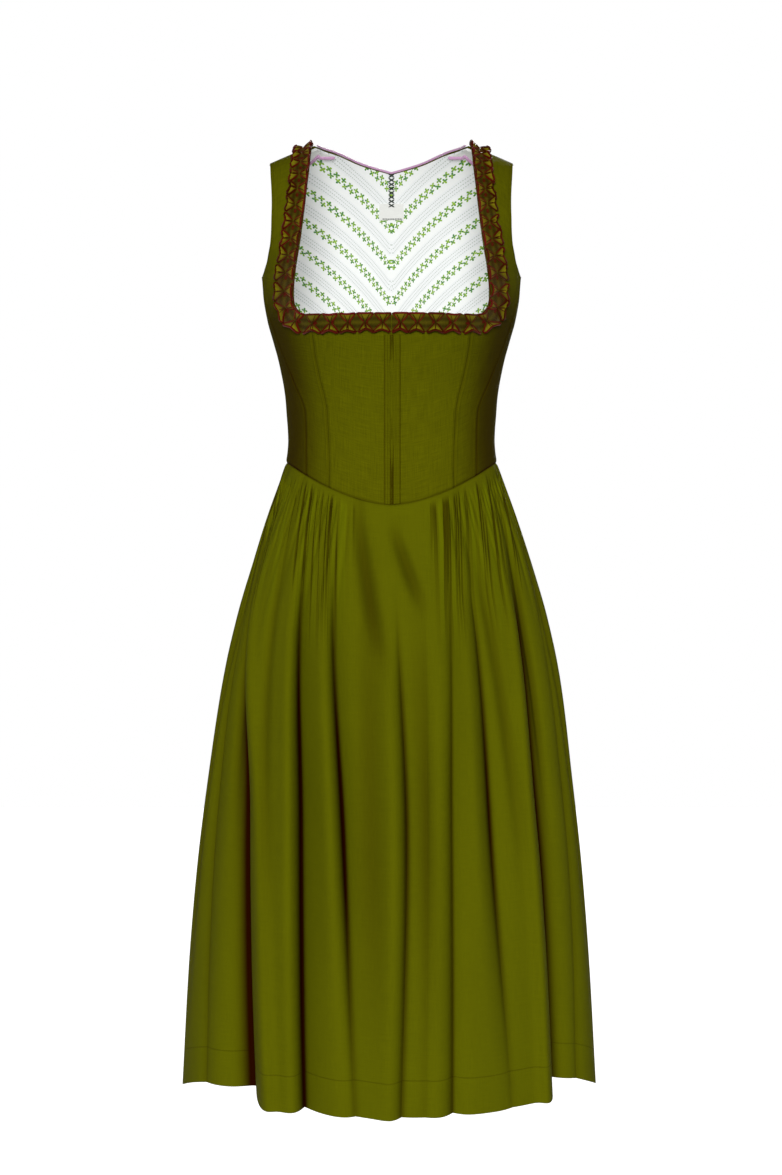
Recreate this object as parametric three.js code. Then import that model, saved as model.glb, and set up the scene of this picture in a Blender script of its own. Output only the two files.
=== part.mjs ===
// A sleeveless dirndl dress with a fitted bodice and a full gathered skirt, worn open at the neck,
// filled out on a general figure with nobody in it. Millimetres, +Z up, front towards -Y.
// The origin lies midway between the shoulder straps, level with their inner tops.
// Left and right are the wearer's. Every cut piece is a thin closed wall on one common form.
import * as THREE from 'three';

// Driving dimensions: heights are counted up from the hem plane, widths out from the middle.
const SHOULDER_UP = 1077;       // inner top of the straps
const SHOULDER_SLOPE = 0.42;    // fall of the shoulder line for each millimetre outwards
const STRAP_INNER = 91;         // inner edge of a strap at the shoulder seam
const CHEST_UP = 985;           // the front starts to roll over the shoulder here
const BLADE_UP = 960;           // the back starts to roll over the shoulder here
const UNDERARM_UP = 925;
const NECK_UP = 872;            // level edge of the front neckline
const NECK_HALF = 110;          // half the width of the front neckline
const NECK_CORNER = 20;         // radius of the neckline's lower corners
const WAIST_FRONT_UP = 662;
const WAIST_SIDE_UP = 713;
const WAIST_BACK_UP = 692;
const WAIST_DIP = 1.7;          // how sharply the waist seam dips to the middle
const HEM = { half: 240.5, front: 217, back: 217, power: 1.9 };

const BODICE_THICK = 1.6;
const SKIRT_THICK = 1.2;
const LINING_THICK = 1.0;
const LABEL_THICK = 0.6;
const SEAM_ANGLE = 0.08;        // degrees that a panel stops short of a seam
const SEAM_GAP = 0.3;
const LAY_GAP = 0.9;            // clearance of a piece that lies on a curved panel

const TRIM_WIDTH = 22;
const TRIM_HEIGHT = 7;
const TRIM_STEPS = 42;
const STRIP_TOP_UP = 848;
const STRIP_RAISE = 1.3;
const PIPING_RADIUS = 1.3;
const LABEL = { half: 15, low: 1008, high: 1027 };
const FACING = { inner: 72, outer: 110, drop: 20 };

const BUST = { apart: 76, up: 897, reach: 46, tall: 52, lift: 9 };

// Body sections up the bodice: half width, depths to front and back, squareness of the oval.
const TORSO = table('up half front back power', [
  [640, 125, 102, 100, 2.15],
  [713, 121, 97, 91, 2.2],
  [740, 118.6, 94, 88, 2.25],
  [781, 121.4, 97, 92, 2.3],
  [822, 127.7, 105, 102, 2.35],
  [850, 135.2, 112, 108, 2.4],
  [878, 142.7, 118, 112, 2.4],
  [905, 147.2, 121, 115, 2.4],
  [925, 148.4, 121, 116, 2.4],
  [950, 155, 118, 116, 2.35],
  [985, 164, 113, 113, 2.3],
  [1040, 168, 108, 109, 2.2],
  [1160, 168, 104, 104, 2.2],
]);

// Half widths at which the two front seams run, from the waist up to the neckline and the side.
const FRONT_SEAMS = table('up inner outer', [
  [640, 70, 95],
  [690, 70, 95.5],
  [765, 72.5, 97],
  [803, 80.5, 110.5],
  [838, 87, 124.5],
  [872, 90, 136.5],
  [900, 90, 143.6],
  [925, 90, 147.6],
]);

// The strap's two edges above the underarm, followed up the cloth and over the shoulder.
const STRAP = table('climb inner outer', [
  [872, 110, 137],
  [898, 110, 143],
  [925, 107.6, 145.5],
  [942, 105, 140.5],
  [962, 102, 136.5],
  [1006, 96.5, 134.5],
  [1060, 92.5, 137],
  [1140, 91, 141],
]);

// Angle of the seam between side and back panel, and the height of the back neckline.
const BACK_SEAM = table('up angle', [[640, 128], [760, 124], [850, 112], [925, 104]]);
const BACK_NECK = table('across up', [[0, 1059], [35, 1067], [70, 1077], [91, 1079]]);

// How far the skirt has spread from waist to hem, for each share of the way down.
const SPREAD = table('drop side front back', [
  [0, 0, 0, 0],
  [0.04, 0.09, 0.05, 0.09],
  [0.09, 0.2, 0.12, 0.2],
  [0.17, 0.36, 0.25, 0.36],
  [0.25, 0.5, 0.38, 0.5],
  [0.37, 0.65, 0.55, 0.65],
  [0.5, 0.76, 0.7, 0.77],
  [0.66, 0.87, 0.84, 0.87],
  [0.82, 0.945, 0.93, 0.945],
  [1, 1, 1, 1],
]);

// The hem lifts a little where the folds swing out between front and side.
const HEM_LIFT = table('angle lift', [[0, 1], [30, 5], [48, 11], [64, 15], [90, 1], [180, 0]]);

// Deep folds round the skirt: their angles from the middle front at the waist, high up, at mid
// height and at the hem, how deep they are in the middle and at the end, how wide on their steep
// and their gentle side, the share of the height at which they begin, and the side on which they
// rise steeply (1 is the larger angle).
const FOLDS = table('name waist high middle hem depth end steep gentle start rises', [
  ['centre_front', 0.5, 2.3, 4.8, 3, 16, 10, 1.6, 5, 0.12, -1],
  ['front_soft', 14, 12, 11, 9.5, 5, 3, 3, 4, 0.1, -1],
  ['front_left_inner', 28.5, 22.2, 18.5, 17, 12, 12, 1.7, 3, 0.04, -1],
  ['front_left_middle', 40.1, 31.6, 30.6, 34.2, 20, 3, 1.6, 5.5, 0.05, -1],
  ['front_left_outer', 68, 54.5, 50.5, 51, 40, 60, 1.6, 13, 0.06, -1],
  ['left_fore', 80, 74, 70, 67, 5, 5, 3, 5, 0.1, 1],
  ['left_side', 90, 90, 90, 90, 6, 6, 4, 5, 0.3, 1],
  ['left_aft', 106, 104.5, 103, 101, 22, 24, 2.6, 7, 0.05, 1],
  ['back_left_outer', 124, 122.5, 120.5, 119, 32, 38, 1.8, 9, 0.03, 1],
  ['back_left_middle', 140, 139.5, 138.8, 138, 22, 16, 1.8, 6, 0.06, -1],
  ['back_left_inner', 154, 154.5, 155.5, 157, 28, 30, 1.8, 7, 0.05, 1],
  ['back_middle', 172, 172.5, 173.2, 174, 16, 20, 2, 6, 0.12, -1],
  ['back_right_inner', 190, 189.5, 189.5, 191, 26, 28, 1.8, 7, 0.05, 1],
  ['back_right_middle', 207, 207.5, 208.5, 210, 24, 18, 1.8, 6, 0.08, -1],
  ['back_right_outer', 226, 227, 228, 229, 34, 40, 1.8, 9, 0.04, -1],
  ['right_aft', 245, 246, 247, 246, 20, 22, 2.6, 7, 0.06, 1],
  ['right_side', 270, 270, 270, 270, 6, 6, 4, 5, 0.3, 1],
  ['right_fore', 276, 282, 290, 297, 5, 5, 3, 5, 0.1, -1],
  ['front_right_outer', 281.5, 291.4, 311, 319.4, 30, 58, 1.8, 13, 0.05, 1],
  ['front_right_middle', 315.8, 324, 331.9, 335.8, 28, 22, 1.6, 5, 0.05, -1],
  ['front_right_inner', 332.8, 338.1, 345.2, 349.9, 24, 6, 1.6, 5, 0.05, -1],
]);
const FOLD_ROWS = [0, 0.2, 0.55, 1];    // shares of the way down at which a fold's angles lie
const FOLD_POWER = 1.2;                 // below 2 a fold's bottom is sharper than a bell's top
// Beside each fold's steep side the cloth stands proud in a crest: where its top lies and how wide
// it is, both in steep widths, and its height as a share of the fold's depth.
const CREST_AWAY = 2.8;
const CREST_WIDTH = 1.9;
const CREST_SHARE = 0.22;
const HEM_RISE = 0.16;                  // how far a fold lifts the hem for each millimetre of push
const SIDEWAYS = 8;                     // the higher, the nearer to the side folds turn sideways
const COLUMNS_A_FOLD = 5;
const SKIRT_ROWS = 9;

const OLIVE = { color: 0x555405, roughness: 0.82, metalness: 0 };
const OLIVE_SKIRT = { color: 0x5a5d04, roughness: 0.72, metalness: 0 };
const TRIM_RED = { color: 0x6b3a12, roughness: 0.5, metalness: 0 };
const LINING_WHITE = { color: 0xe4ead8, roughness: 0.9, metalness: 0 };
const MAUVE = { color: 0xb98aa6, roughness: 0.4, metalness: 0 };

function table(names, rows) {
  const keys = names.split(' ');
  return rows.map((row) => Object.fromEntries(keys.map((key, i) => [key, row[i]])));
}

// Reads one column of a table between its rows, smoothly and without overshoot.
function read(rows, key, at, column) {
  const last = rows.length - 1;
  if (at <= rows[0][key]) return rows[0][column];
  if (at >= rows[last][key]) return rows[last][column];
  const i = rows.findIndex((row) => row[key] > at) - 1;
  const slope = (j) => (rows[j + 1][column] - rows[j][column]) / (rows[j + 1][key] - rows[j][key]);
  const tangent = (j) => {
    if (j === 0 || j === last) return slope(Math.min(j, last - 1));
    const before = slope(j - 1);
    const after = slope(j);
    return before * after <= 0 ? 0 : (2 * before * after) / (before + after);
  };
  const span = rows[i + 1][key] - rows[i][key];
  const s = (at - rows[i][key]) / span;
  const a = rows[i][column];
  const b = rows[i + 1][column];
  const bend = s * (1 - s) * (1 - s) * span * tangent(i) - s * s * (1 - s) * span * tangent(i + 1);
  return a + (b - a) * s * s * (3 - 2 * s) + bend;
}

const radians = THREE.MathUtils.degToRad;
const degrees = THREE.MathUtils.radToDeg;
const lerp = THREE.MathUtils.lerp;
const smoothstep = THREE.MathUtils.smoothstep;
const signedPower = (base, power) => Math.sign(base) * Math.abs(base) ** power;
const isFront = (angle) => Math.cos(radians(angle)) >= 0;

// ---- The form that the bodice lies on -------------------------------------------------------

function ridgeUp(across) {
  return SHOULDER_UP - (Math.abs(across) - STRAP_INNER) * SHOULDER_SLOPE;
}

function rollStart(angle) {
  return isFront(angle) ? CHEST_UP : BLADE_UP;
}

// The climb, measured up the cloth, at which the wall reaches the shoulder line.
function ridgeClimb(across, angle) {
  const start = rollStart(angle);
  return start + (ridgeUp(across) - start) * Math.PI / 2;
}

function torsoAcross(angle, climb) {
  const power = read(TORSO, 'up', climb, 'power');
  return read(TORSO, 'up', climb, 'half') * signedPower(Math.sin(radians(angle)), 2 / power);
}

// The angle at which the form has a given half width, on its front or on its back.
function angleAcross(across, climb, front) {
  const power = read(TORSO, 'up', climb, 'power');
  const share = Math.min(across / read(TORSO, 'up', climb, 'half'), 1);
  const angle = degrees(Math.asin(share ** (power / 2)));
  return front ? angle : 180 - angle;
}

function torsoPoint(angle, climb) {
  const front = isFront(angle);
  const power = read(TORSO, 'up', climb, 'power');
  const x = torsoAcross(angle, climb);
  let depth = read(TORSO, 'up', climb, front ? 'front' : 'back');
  if (front) {
    const aside = (Math.abs(x) - BUST.apart) / BUST.reach;
    const above = (climb - BUST.up) / BUST.tall;
    depth += BUST.lift * Math.exp(-aside * aside - above * above);
  }
  const start = rollStart(angle);
  const rise = ridgeUp(x) - start;
  const lean = Math.min(Math.max(0, climb - start) / rise, Math.PI / 2);
  const up = climb > start ? start + rise * Math.sin(lean) : climb;
  const y = -depth * signedPower(Math.cos(radians(angle)), 2 / power) * Math.cos(lean);
  return new THREE.Vector3(x, y, up - SHOULDER_UP);
}

function waistUp(angle) {
  const middle = isFront(angle) ? WAIST_FRONT_UP : WAIST_BACK_UP;
  const aside = Math.abs(Math.sin(radians(angle))) ** (2 / TORSO[1].power);
  return lerp(middle, WAIST_SIDE_UP, aside ** WAIST_DIP);
}

// ---- The form that the skirt lies on --------------------------------------------------------

function foldAngle(fold, drop) {
  const angles = [fold.waist, fold.high, fold.middle, fold.hem];
  return read(FOLD_ROWS.map((row, i) => ({ drop: row, angle: angles[i] })), 'drop', drop, 'angle');
}

// How far the folds push the cloth inwards at an angle, for a share of the way down.
function foldDepth(angle, drop) {
  const swell = lerp(0.45, 1, smoothstep(drop, 0.1, 0.55));
  let depth = 0;
  for (const fold of FOLDS) {
    const turn = angle - foldAngle(fold, drop);
    const away = THREE.MathUtils.euclideanModulo(turn + 180, 360) - 180;
    const width = away * fold.rises > 0 ? fold.steep : fold.gentle;
    const grown = smoothstep(drop, fold.start, fold.start + 0.22) * swell;
    const size = lerp(fold.depth, fold.end, smoothstep(drop, 0.5, 1)) * grown;
    const crest = away * fold.rises / fold.steep - CREST_AWAY;
    depth += size * Math.exp(-((Math.abs(away) / width) ** FOLD_POWER));
    depth -= size * CREST_SHARE * Math.exp(-((crest / CREST_WIDTH) ** 2));
  }
  return depth;
}

function skirtPoint(angle, drop) {
  const turn = radians(angle);
  const waist = torsoPoint(angle, waistUp(angle));
  const hemDepth = isFront(angle) ? HEM.front : HEM.back;
  const hemX = HEM.half * signedPower(Math.sin(turn), 2 / HEM.power);
  const hemY = -hemDepth * signedPower(Math.cos(turn), 2 / HEM.power);
  const bend = (angle > 180 ? 360 - angle : angle);
  const hemUp = read(HEM_LIFT, 'angle', Math.abs(bend), 'lift');
  const sideShare = read(SPREAD, 'drop', drop, 'side');
  const depthShare = read(SPREAD, 'drop', drop, isFront(angle) ? 'front' : 'back');
  const x = lerp(waist.x, hemX, sideShare);
  const y = lerp(waist.y, hemY, depthShare);
  const push = foldDepth(angle, drop);
  const up = lerp(waistUp(angle), hemUp, drop) + HEM_RISE * push * drop ** 3;
  const aside = signedPower(x / Math.hypot(x, y), SIDEWAYS);
  const back = Math.sign(y) * Math.sqrt(1 - aside * aside);
  return new THREE.Vector3(x - push * aside, y - push * back, up - SHOULDER_UP);
}

// ---- Closed bodies from grids and rings -----------------------------------------------------

function normalOf(place, s, t) {
  const step = 1e-3;
  const across = place(s + step, t).sub(place(s - step, t));
  const upward = place(s, t + step).sub(place(s, t - step));
  return across.cross(upward).normalize();
}

function meshFrom(name, look, points, faces) {
  const geometry = new THREE.BufferGeometry();
  const numbers = points.flatMap((point) => [point.x, point.y, point.z]);
  geometry.setAttribute('position', new THREE.Float32BufferAttribute(numbers, 3));
  geometry.setIndex(faces);
  geometry.computeVertexNormals();
  const mesh = new THREE.Mesh(geometry, new THREE.MeshStandardMaterial(look));
  mesh.name = name;
  return mesh;
}

// A wall over place(s, t), s increasing to the left as seen from inside and t upwards, between an
// outer face moved out by `out` and an inner face `thick` further in.
function wall(name, look, place, acrossStops, upStops, out, thick) {
  const columns = acrossStops.length;
  const points = [];
  for (const depth of [out, out - thick]) {
    for (const t of upStops) {
      for (const s of acrossStops) {
        points.push(place(s, t).addScaledVector(normalOf(place, s, t), depth));
      }
    }
  }
  const layer = columns * upStops.length;
  const at = (side, row, column) => side * layer + row * columns + column;
  const faces = [];
  const quad = (a, b, c, d) => faces.push(a, b, c, a, c, d);
  const lastRow = upStops.length - 1;
  const lastColumn = columns - 1;
  for (let row = 0; row < lastRow; row += 1) {
    for (let column = 0; column < lastColumn; column += 1) {
      const next = column + 1;
      quad(at(0, row, column), at(0, row, next), at(0, row + 1, next), at(0, row + 1, column));
      quad(at(1, row, column), at(1, row + 1, column), at(1, row + 1, next), at(1, row, next));
    }
    quad(at(0, row, 0), at(0, row + 1, 0), at(1, row + 1, 0), at(1, row, 0));
    quad(at(0, row, lastColumn), at(1, row, lastColumn), at(1, row + 1, lastColumn),
      at(0, row + 1, lastColumn));
  }
  for (let column = 0; column < lastColumn; column += 1) {
    const next = column + 1;
    quad(at(0, 0, column), at(1, 0, column), at(1, 0, next), at(0, 0, next));
    quad(at(0, lastRow, column), at(0, lastRow, next), at(1, lastRow, next), at(1, lastRow, column));
  }
  return meshFrom(name, look, points, faces);
}

// A solid through closed rings of equally many points, capped flat at both ends.
function loft(name, look, rings) {
  const sides = rings[0].length;
  const faces = [];
  for (let ring = 0; ring < rings.length - 1; ring += 1) {
    for (let side = 0; side < sides; side += 1) {
      const a = ring * sides + side;
      const b = ring * sides + (side + 1) % sides;
      faces.push(a, b, b + sides, a, b + sides, a + sides);
    }
  }
  const end = (rings.length - 1) * sides;
  for (let side = 1; side < sides - 1; side += 1) {
    faces.push(0, side + 1, side, end, end + side, end + side + 1);
  }
  return meshFrom(name, look, rings.flat(), faces);
}

function stops(count) {
  return Array.from({ length: count + 1 }, (_, i) => i / count);
}

// ---- Bodice ---------------------------------------------------------------------------------
// Heights on a bodice panel run in three stages: 0 to 1 from waist to neckline, 1 to 2 from
// neckline to underarm, and 2 to 3 from underarm to the shoulder line or the back neckline.

const WAIST_STAGE = stops(6);
const CORNER_STAGE = [1.028, 1.11, 1.24, 1.4, 1.7, 2];
const STRAP_STAGE = stops(6).slice(1).map((share) => 2 + share);
const LOW_ROWS = [...WAIST_STAGE, ...CORNER_STAGE];
const ALL_ROWS = [...LOW_ROWS, ...STRAP_STAGE];

function frontTop(across) {
  return ridgeClimb(across, 0) - SEAM_GAP;
}

function backTop(across) {
  const ridge = ridgeClimb(across, 180) - SEAM_GAP;
  const rise = ridgeUp(across) - BLADE_UP;
  const share = (read(BACK_NECK, 'across', Math.abs(across), 'up') - BLADE_UP) / rise;
  return share >= 1 ? ridge : Math.min(ridge, BLADE_UP + rise * Math.asin(share));
}

function climbAt(stage, waist, top) {
  if (stage <= 1) return lerp(waist, NECK_UP, stage);
  if (stage <= 2) return lerp(NECK_UP, UNDERARM_UP, stage - 1);
  return lerp(UNDERARM_UP, top, stage - 2);
}

// Half width of the neckline edge: a rounded corner, then the inner edge of the strap.
function neckAcross(climb) {
  const above = Math.max(0, climb - NECK_UP);
  if (above >= NECK_CORNER) return read(STRAP, 'climb', climb, 'inner');
  const drop = NECK_CORNER - above;
  return NECK_HALF - NECK_CORNER + Math.sqrt(NECK_CORNER ** 2 - drop ** 2);
}

function innerSeamAngle(climb) {
  const across = climb <= NECK_UP ? read(FRONT_SEAMS, 'up', climb, 'inner') : neckAcross(climb);
  return angleAcross(across, climb, true);
}

function outerSeamAngle(climb) {
  const low = climb <= UNDERARM_UP;
  const across = low ? read(FRONT_SEAMS, 'up', climb, 'outer') : read(STRAP, 'climb', climb, 'outer');
  return angleAcross(across, climb, true);
}

function backSeamAngle(climb) {
  if (climb <= UNDERARM_UP) return read(BACK_SEAM, 'up', climb, 'angle');
  return angleAcross(read(STRAP, 'climb', climb, 'outer'), climb, false);
}

// The waist height at an edge that itself depends on height: settled by a few repeats.
function edgeAngle(edge, stage, top) {
  let angle = edge(WAIST_SIDE_UP);
  for (let pass = 0; pass < 6; pass += 1) {
    angle = edge(climbAt(stage, waistUp(angle) + SEAM_GAP, top(torsoAcross(angle, NECK_UP))));
  }
  return angle;
}

// A panel of the left half between two edges, each an angle for a climb.
function panelPlace(nearEdge, farEdge, top) {
  return (s, stage) => {
    const near = edgeAngle(nearEdge, stage, top) + SEAM_ANGLE;
    const far = edgeAngle(farEdge, stage, top) - SEAM_ANGLE;
    const angle = lerp(near, far, s);
    const across = torsoAcross(angle, SHOULDER_UP);
    const climb = climbAt(stage, waistUp(angle) + SEAM_GAP, top(across));
    return torsoPoint(angle, climb);
  };
}

const middleFront = () => 0;
const middleBack = () => 180;

function frontPanel(name) {
  const place = panelPlace(middleFront, innerSeamAngle, frontTop);
  return wall(name, OLIVE, place, stops(4), WAIST_STAGE, 0, BODICE_THICK);
}

function strapPanel(name) {
  const place = panelPlace(innerSeamAngle, outerSeamAngle, frontTop);
  return wall(name, OLIVE, place, stops(4), ALL_ROWS, 0, BODICE_THICK);
}

function sidePanel(name) {
  const place = panelPlace(outerSeamAngle, backSeamAngle, frontTop);
  return wall(name, OLIVE, place, stops(3), LOW_ROWS, 0, BODICE_THICK);
}

const backPlace = panelPlace(backSeamAngle, middleBack, backTop);

function backPanel(name) {
  return wall(name, OLIVE, backPlace, stops(6), ALL_ROWS, 0, BODICE_THICK);
}

// The same surface made flat between its stops, for a wall that lies against its facets.
function faceted(place, acrossStops, upStops) {
  const cell = (list, at) => {
    const next = list.findIndex((stop) => stop > at);
    return next < 0 ? list.length - 2 : Math.max(0, next - 1);
  };
  return (s, t) => {
    const i = cell(acrossStops, s);
    const j = cell(upStops, t);
    const u = (s - acrossStops[i]) / (acrossStops[i + 1] - acrossStops[i]);
    const v = (t - upStops[j]) / (upStops[j + 1] - upStops[j]);
    const low = place(acrossStops[i], upStops[j]).lerp(place(acrossStops[i + 1], upStops[j]), u);
    const high = place(acrossStops[i], upStops[j + 1]);
    high.lerp(place(acrossStops[i + 1], upStops[j + 1]), u);
    return low.lerp(high, v);
  };
}

function backLining(name) {
  const inset = (list, low, high) => list.map((at) => THREE.MathUtils.clamp(at, low, high));
  const place = faceted(backPlace, stops(6), ALL_ROWS);
  const clear = -BODICE_THICK - LAY_GAP;
  const columns = inset(stops(6), 0.02, 0.997);
  return wall(name, LINING_WHITE, place, columns, inset(ALL_ROWS, 0.02, 2.96), clear, LINING_THICK);
}

// ---- What lies on the bodice ----------------------------------------------------------------

// The neckline edge from the middle front round the corner and up the strap, drawn flat with the
// half width across and the climb upwards.
function neckEdge() {
  const edge = new THREE.Path();
  edge.moveTo(SEAM_GAP, NECK_UP);
  edge.lineTo(NECK_HALF - NECK_CORNER, NECK_UP);
  edge.absarc(NECK_HALF - NECK_CORNER, NECK_UP + NECK_CORNER, NECK_CORNER, -Math.PI / 2, 0, false);
  const strap = STRAP.filter((row) => row.climb > NECK_UP + NECK_CORNER);
  edge.splineThru(strap.map((row) => new THREE.Vector2(row.inner, row.climb)));
  return edge;
}

function onFront(across, climb, out) {
  const place = (x, up) => torsoPoint(angleAcross(Math.abs(x), up, true) * Math.sign(x), up);
  const normal = normalOf((s, t) => place(across + s, climb + t), 0, 0);
  return place(across, climb).addScaledVector(normal, out);
}

function neckTrim(name) {
  const edge = neckEdge();
  const rings = [];
  for (const share of stops(TRIM_STEPS)) {
    const start = edge.getPointAt(share);
    const along = edge.getTangentAt(share);
    const outward = new THREE.Vector2(along.y, -along.x);
    const ring = [];
    for (const [width, height] of [[0, 0], [0.5, 0], [1, 0], [1, 0.7], [0.5, 1], [0, 0.7]]) {
      const spot = start.clone().addScaledVector(outward, width * TRIM_WIDTH);
      const climb = Math.min(spot.y, frontTop(spot.x));
      ring.push(onFront(Math.max(spot.x, SEAM_GAP), climb, LAY_GAP + height * TRIM_HEIGHT));
    }
    rings.push(ring.reverse());
  }
  return loft(name, TRIM_RED, trimmed(rings));
}

// Drops rings that fall on the one before them, where the band has already met the shoulder.
function trimmed(rings) {
  return rings.filter((ring, i) => i === 0 || ring[0].distanceTo(rings[i - 1][0]) > 1.5);
}

function edgeStrip(name, near, far, raise) {
  const place = (s, t) => {
    const across = lerp(near, far, s);
    const angle = angleAcross(across, NECK_UP, true);
    const climb = lerp(waistUp(angle) + 2 * SEAM_GAP, STRIP_TOP_UP, t);
    return torsoPoint(angleAcross(across, climb, true), climb);
  };
  return wall(name, OLIVE, place, stops(1), stops(10), LAY_GAP + raise, raise);
}

function neckPiping(name) {
  const rings = [];
  const reach = STRAP_INNER - 3;
  for (const share of stops(28)) {
    const across = lerp(reach, -reach, share);
    const turn = Math.sign(across) || 1;
    const angle = angleAcross(Math.abs(across), SHOULDER_UP, false);
    const top = backTop(across);
    const spot = torsoPoint(turn * angle, top);
    const below = torsoPoint(turn * angle, top - 1);
    const upward = spot.clone().sub(below).normalize();
    const inward = new THREE.Vector3(-spot.x, -spot.y, 0).normalize();
    const centre = spot.addScaledVector(upward, PIPING_RADIUS + 2 * SEAM_GAP);
    centre.addScaledVector(inward, BODICE_THICK / 2);
    const ring = [];
    for (let side = 0; side < 6; side += 1) {
      const turnRound = side * Math.PI / 3;
      ring.push(centre.clone()
        .addScaledVector(upward, PIPING_RADIUS * Math.cos(turnRound))
        .addScaledVector(inward, -PIPING_RADIUS * Math.sin(turnRound)));
    }
    rings.push(ring);
  }
  return loft(name, MAUVE, rings);
}

// A wall that lies inside the back between two half widths, a drop below the top edge.
function insideBack(name, inner, outer, place, columns, rows, layer) {
  const spot = (s, t) => {
    const across = lerp(outer, inner, s);
    const turn = Math.sign(across) || 1;
    const climb = place(across, t);
    return torsoPoint(turn * angleAcross(Math.abs(across), climb, false), climb);
  };
  const inside = -BODICE_THICK - LINING_THICK - 2 * LAY_GAP - layer;
  return wall(name, LINING_WHITE, spot, stops(columns), stops(rows), inside, LABEL_THICK);
}

function shoulderFacing(name) {
  const climb = (across, t) => backTop(across) - lerp(FACING.drop, 3, t);
  return insideBack(name, FACING.inner, FACING.outer, climb, 4, 3, 2);
}

function neckLabel(name) {
  const rise = (up, across) => BLADE_UP + (ridgeUp(across) - BLADE_UP)
    * Math.asin((up - BLADE_UP) / (ridgeUp(across) - BLADE_UP));
  const climb = (across, t) => rise(lerp(LABEL.low, LABEL.high, t), across);
  return insideBack(name, -LABEL.half, LABEL.half, climb, 4, 2, 0.6);
}

// ---- Skirt ----------------------------------------------------------------------------------

// Columns follow the folds, closer together at each fold's bottom. Fold i lies at position i.
function foldColumns(from, to) {
  const columns = [];
  for (let fold = from; fold < to; fold += 1) {
    for (let step = 0; step < COLUMNS_A_FOLD; step += 1) {
      columns.push(fold + 0.5 - 0.5 * Math.cos((step / COLUMNS_A_FOLD) * Math.PI));
    }
  }
  return [...columns, to];
}

function foldPosition(position, drop) {
  const fold = Math.floor(position);
  const wrap = (index) => {
    const turns = Math.floor(index / FOLDS.length);
    return foldAngle(FOLDS[index - turns * FOLDS.length], drop) + 360 * turns;
  };
  return lerp(wrap(fold), wrap(fold + 1), position - fold);
}

function skirtPanel(name, fromFold, toFold) {
  const columns = foldColumns(fromFold, toFold);
  columns[0] += 0.012;
  columns[columns.length - 1] -= 0.012;
  const place = (position, up) => {
    const drop = 1 - up;
    const settled = THREE.MathUtils.clamp(drop, 0, 1);
    return skirtPoint(foldPosition(position, settled), drop);
  };
  const rows = stops(SKIRT_ROWS).map((share) => 1 - share ** 1.35 - (share === 0 ? 0.0009 : 0));
  rows.reverse();
  return wall(name, OLIVE_SKIRT, place, columns, rows, 0, SKIRT_THICK);
}

const foldIndex = (name) => FOLDS.findIndex((fold) => fold.name === name);

// ---- The dress ------------------------------------------------------------------------------

// A left-hand piece turned over to the right: its faces are listed the other way round.
function mirrored(mesh, name) {
  const twin = mesh.clone();
  twin.name = name;
  twin.geometry = mesh.geometry.clone();
  twin.geometry.scale(-1, 1, 1);
  const faces = Array.from(mesh.geometry.index.array);
  twin.geometry.setIndex(faces.reverse());
  twin.geometry.computeVertexNormals();
  return twin;
}

const PAIRED = {
  bodice_front: frontPanel,
  bodice_strap_front: strapPanel,
  bodice_side: sidePanel,
  bodice_back: backPanel,
  lining_back: backLining,
  neck_trim: neckTrim,
  shoulder_facing: shoulderFacing,
};

const dress = new THREE.Group();
for (const [name, build] of Object.entries(PAIRED)) {
  const left = build(`${name}_left`);
  dress.add(left, mirrored(left, `${name}_right`));
}
dress.add(edgeStrip('closing_strip_left', 1, 10, STRIP_RAISE));
dress.add(mirrored(edgeStrip('', 0.5, 8.3, STRIP_RAISE / 2), 'closing_strip_right'));
dress.add(neckPiping('back_neck_piping'));
dress.add(neckLabel('neck_label'));
const around = FOLDS.length;
dress.add(skirtPanel('skirt_front_left', 0, foldIndex('left_side')));
dress.add(skirtPanel('skirt_back', foldIndex('left_side'), foldIndex('right_side')));
dress.add(skirtPanel('skirt_front_right', foldIndex('right_side'), around));

export default dress;
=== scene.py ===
"""A sleeveless dirndl dress, filled out as worn: its cloth, trim, lining and studio.

The cloth lies on one form, given by short tables of body sections and skirt folds in millimetres;
meshes are written in metres. Angles go round from the middle front towards the wearer's left.
"""
import logging
import math
from dataclasses import dataclass, field
from enum import Enum
from functools import cached_property
from typing import Callable, Sequence

import bpy
import numpy as np
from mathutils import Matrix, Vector


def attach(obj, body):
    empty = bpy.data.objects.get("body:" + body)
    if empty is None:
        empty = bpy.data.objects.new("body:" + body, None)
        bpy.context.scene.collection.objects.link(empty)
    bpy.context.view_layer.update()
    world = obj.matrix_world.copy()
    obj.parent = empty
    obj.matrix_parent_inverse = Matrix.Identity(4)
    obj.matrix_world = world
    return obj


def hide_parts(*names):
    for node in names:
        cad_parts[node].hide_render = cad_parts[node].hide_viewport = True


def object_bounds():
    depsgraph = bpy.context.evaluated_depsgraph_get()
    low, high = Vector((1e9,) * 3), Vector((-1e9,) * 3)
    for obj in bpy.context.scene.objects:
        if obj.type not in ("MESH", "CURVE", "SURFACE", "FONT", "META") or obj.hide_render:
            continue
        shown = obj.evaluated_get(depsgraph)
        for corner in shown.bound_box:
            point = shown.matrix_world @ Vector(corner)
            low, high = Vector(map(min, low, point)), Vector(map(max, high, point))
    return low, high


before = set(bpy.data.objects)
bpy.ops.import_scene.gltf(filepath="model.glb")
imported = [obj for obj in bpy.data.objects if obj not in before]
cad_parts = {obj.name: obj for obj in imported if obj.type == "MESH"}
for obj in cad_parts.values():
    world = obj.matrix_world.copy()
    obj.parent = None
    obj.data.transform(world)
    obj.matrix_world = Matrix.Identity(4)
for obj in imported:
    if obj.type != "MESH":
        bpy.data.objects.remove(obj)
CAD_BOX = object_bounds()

LOG = logging.getLogger("dirndl")
MM = 0.001
MIRROR = np.array([-1.0, 1.0, 1.0])
FULL_TURN = 2 * math.pi
Array = np.ndarray
Colour = tuple[int, int, int]
Edge = Callable[[Array], Array]


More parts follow.
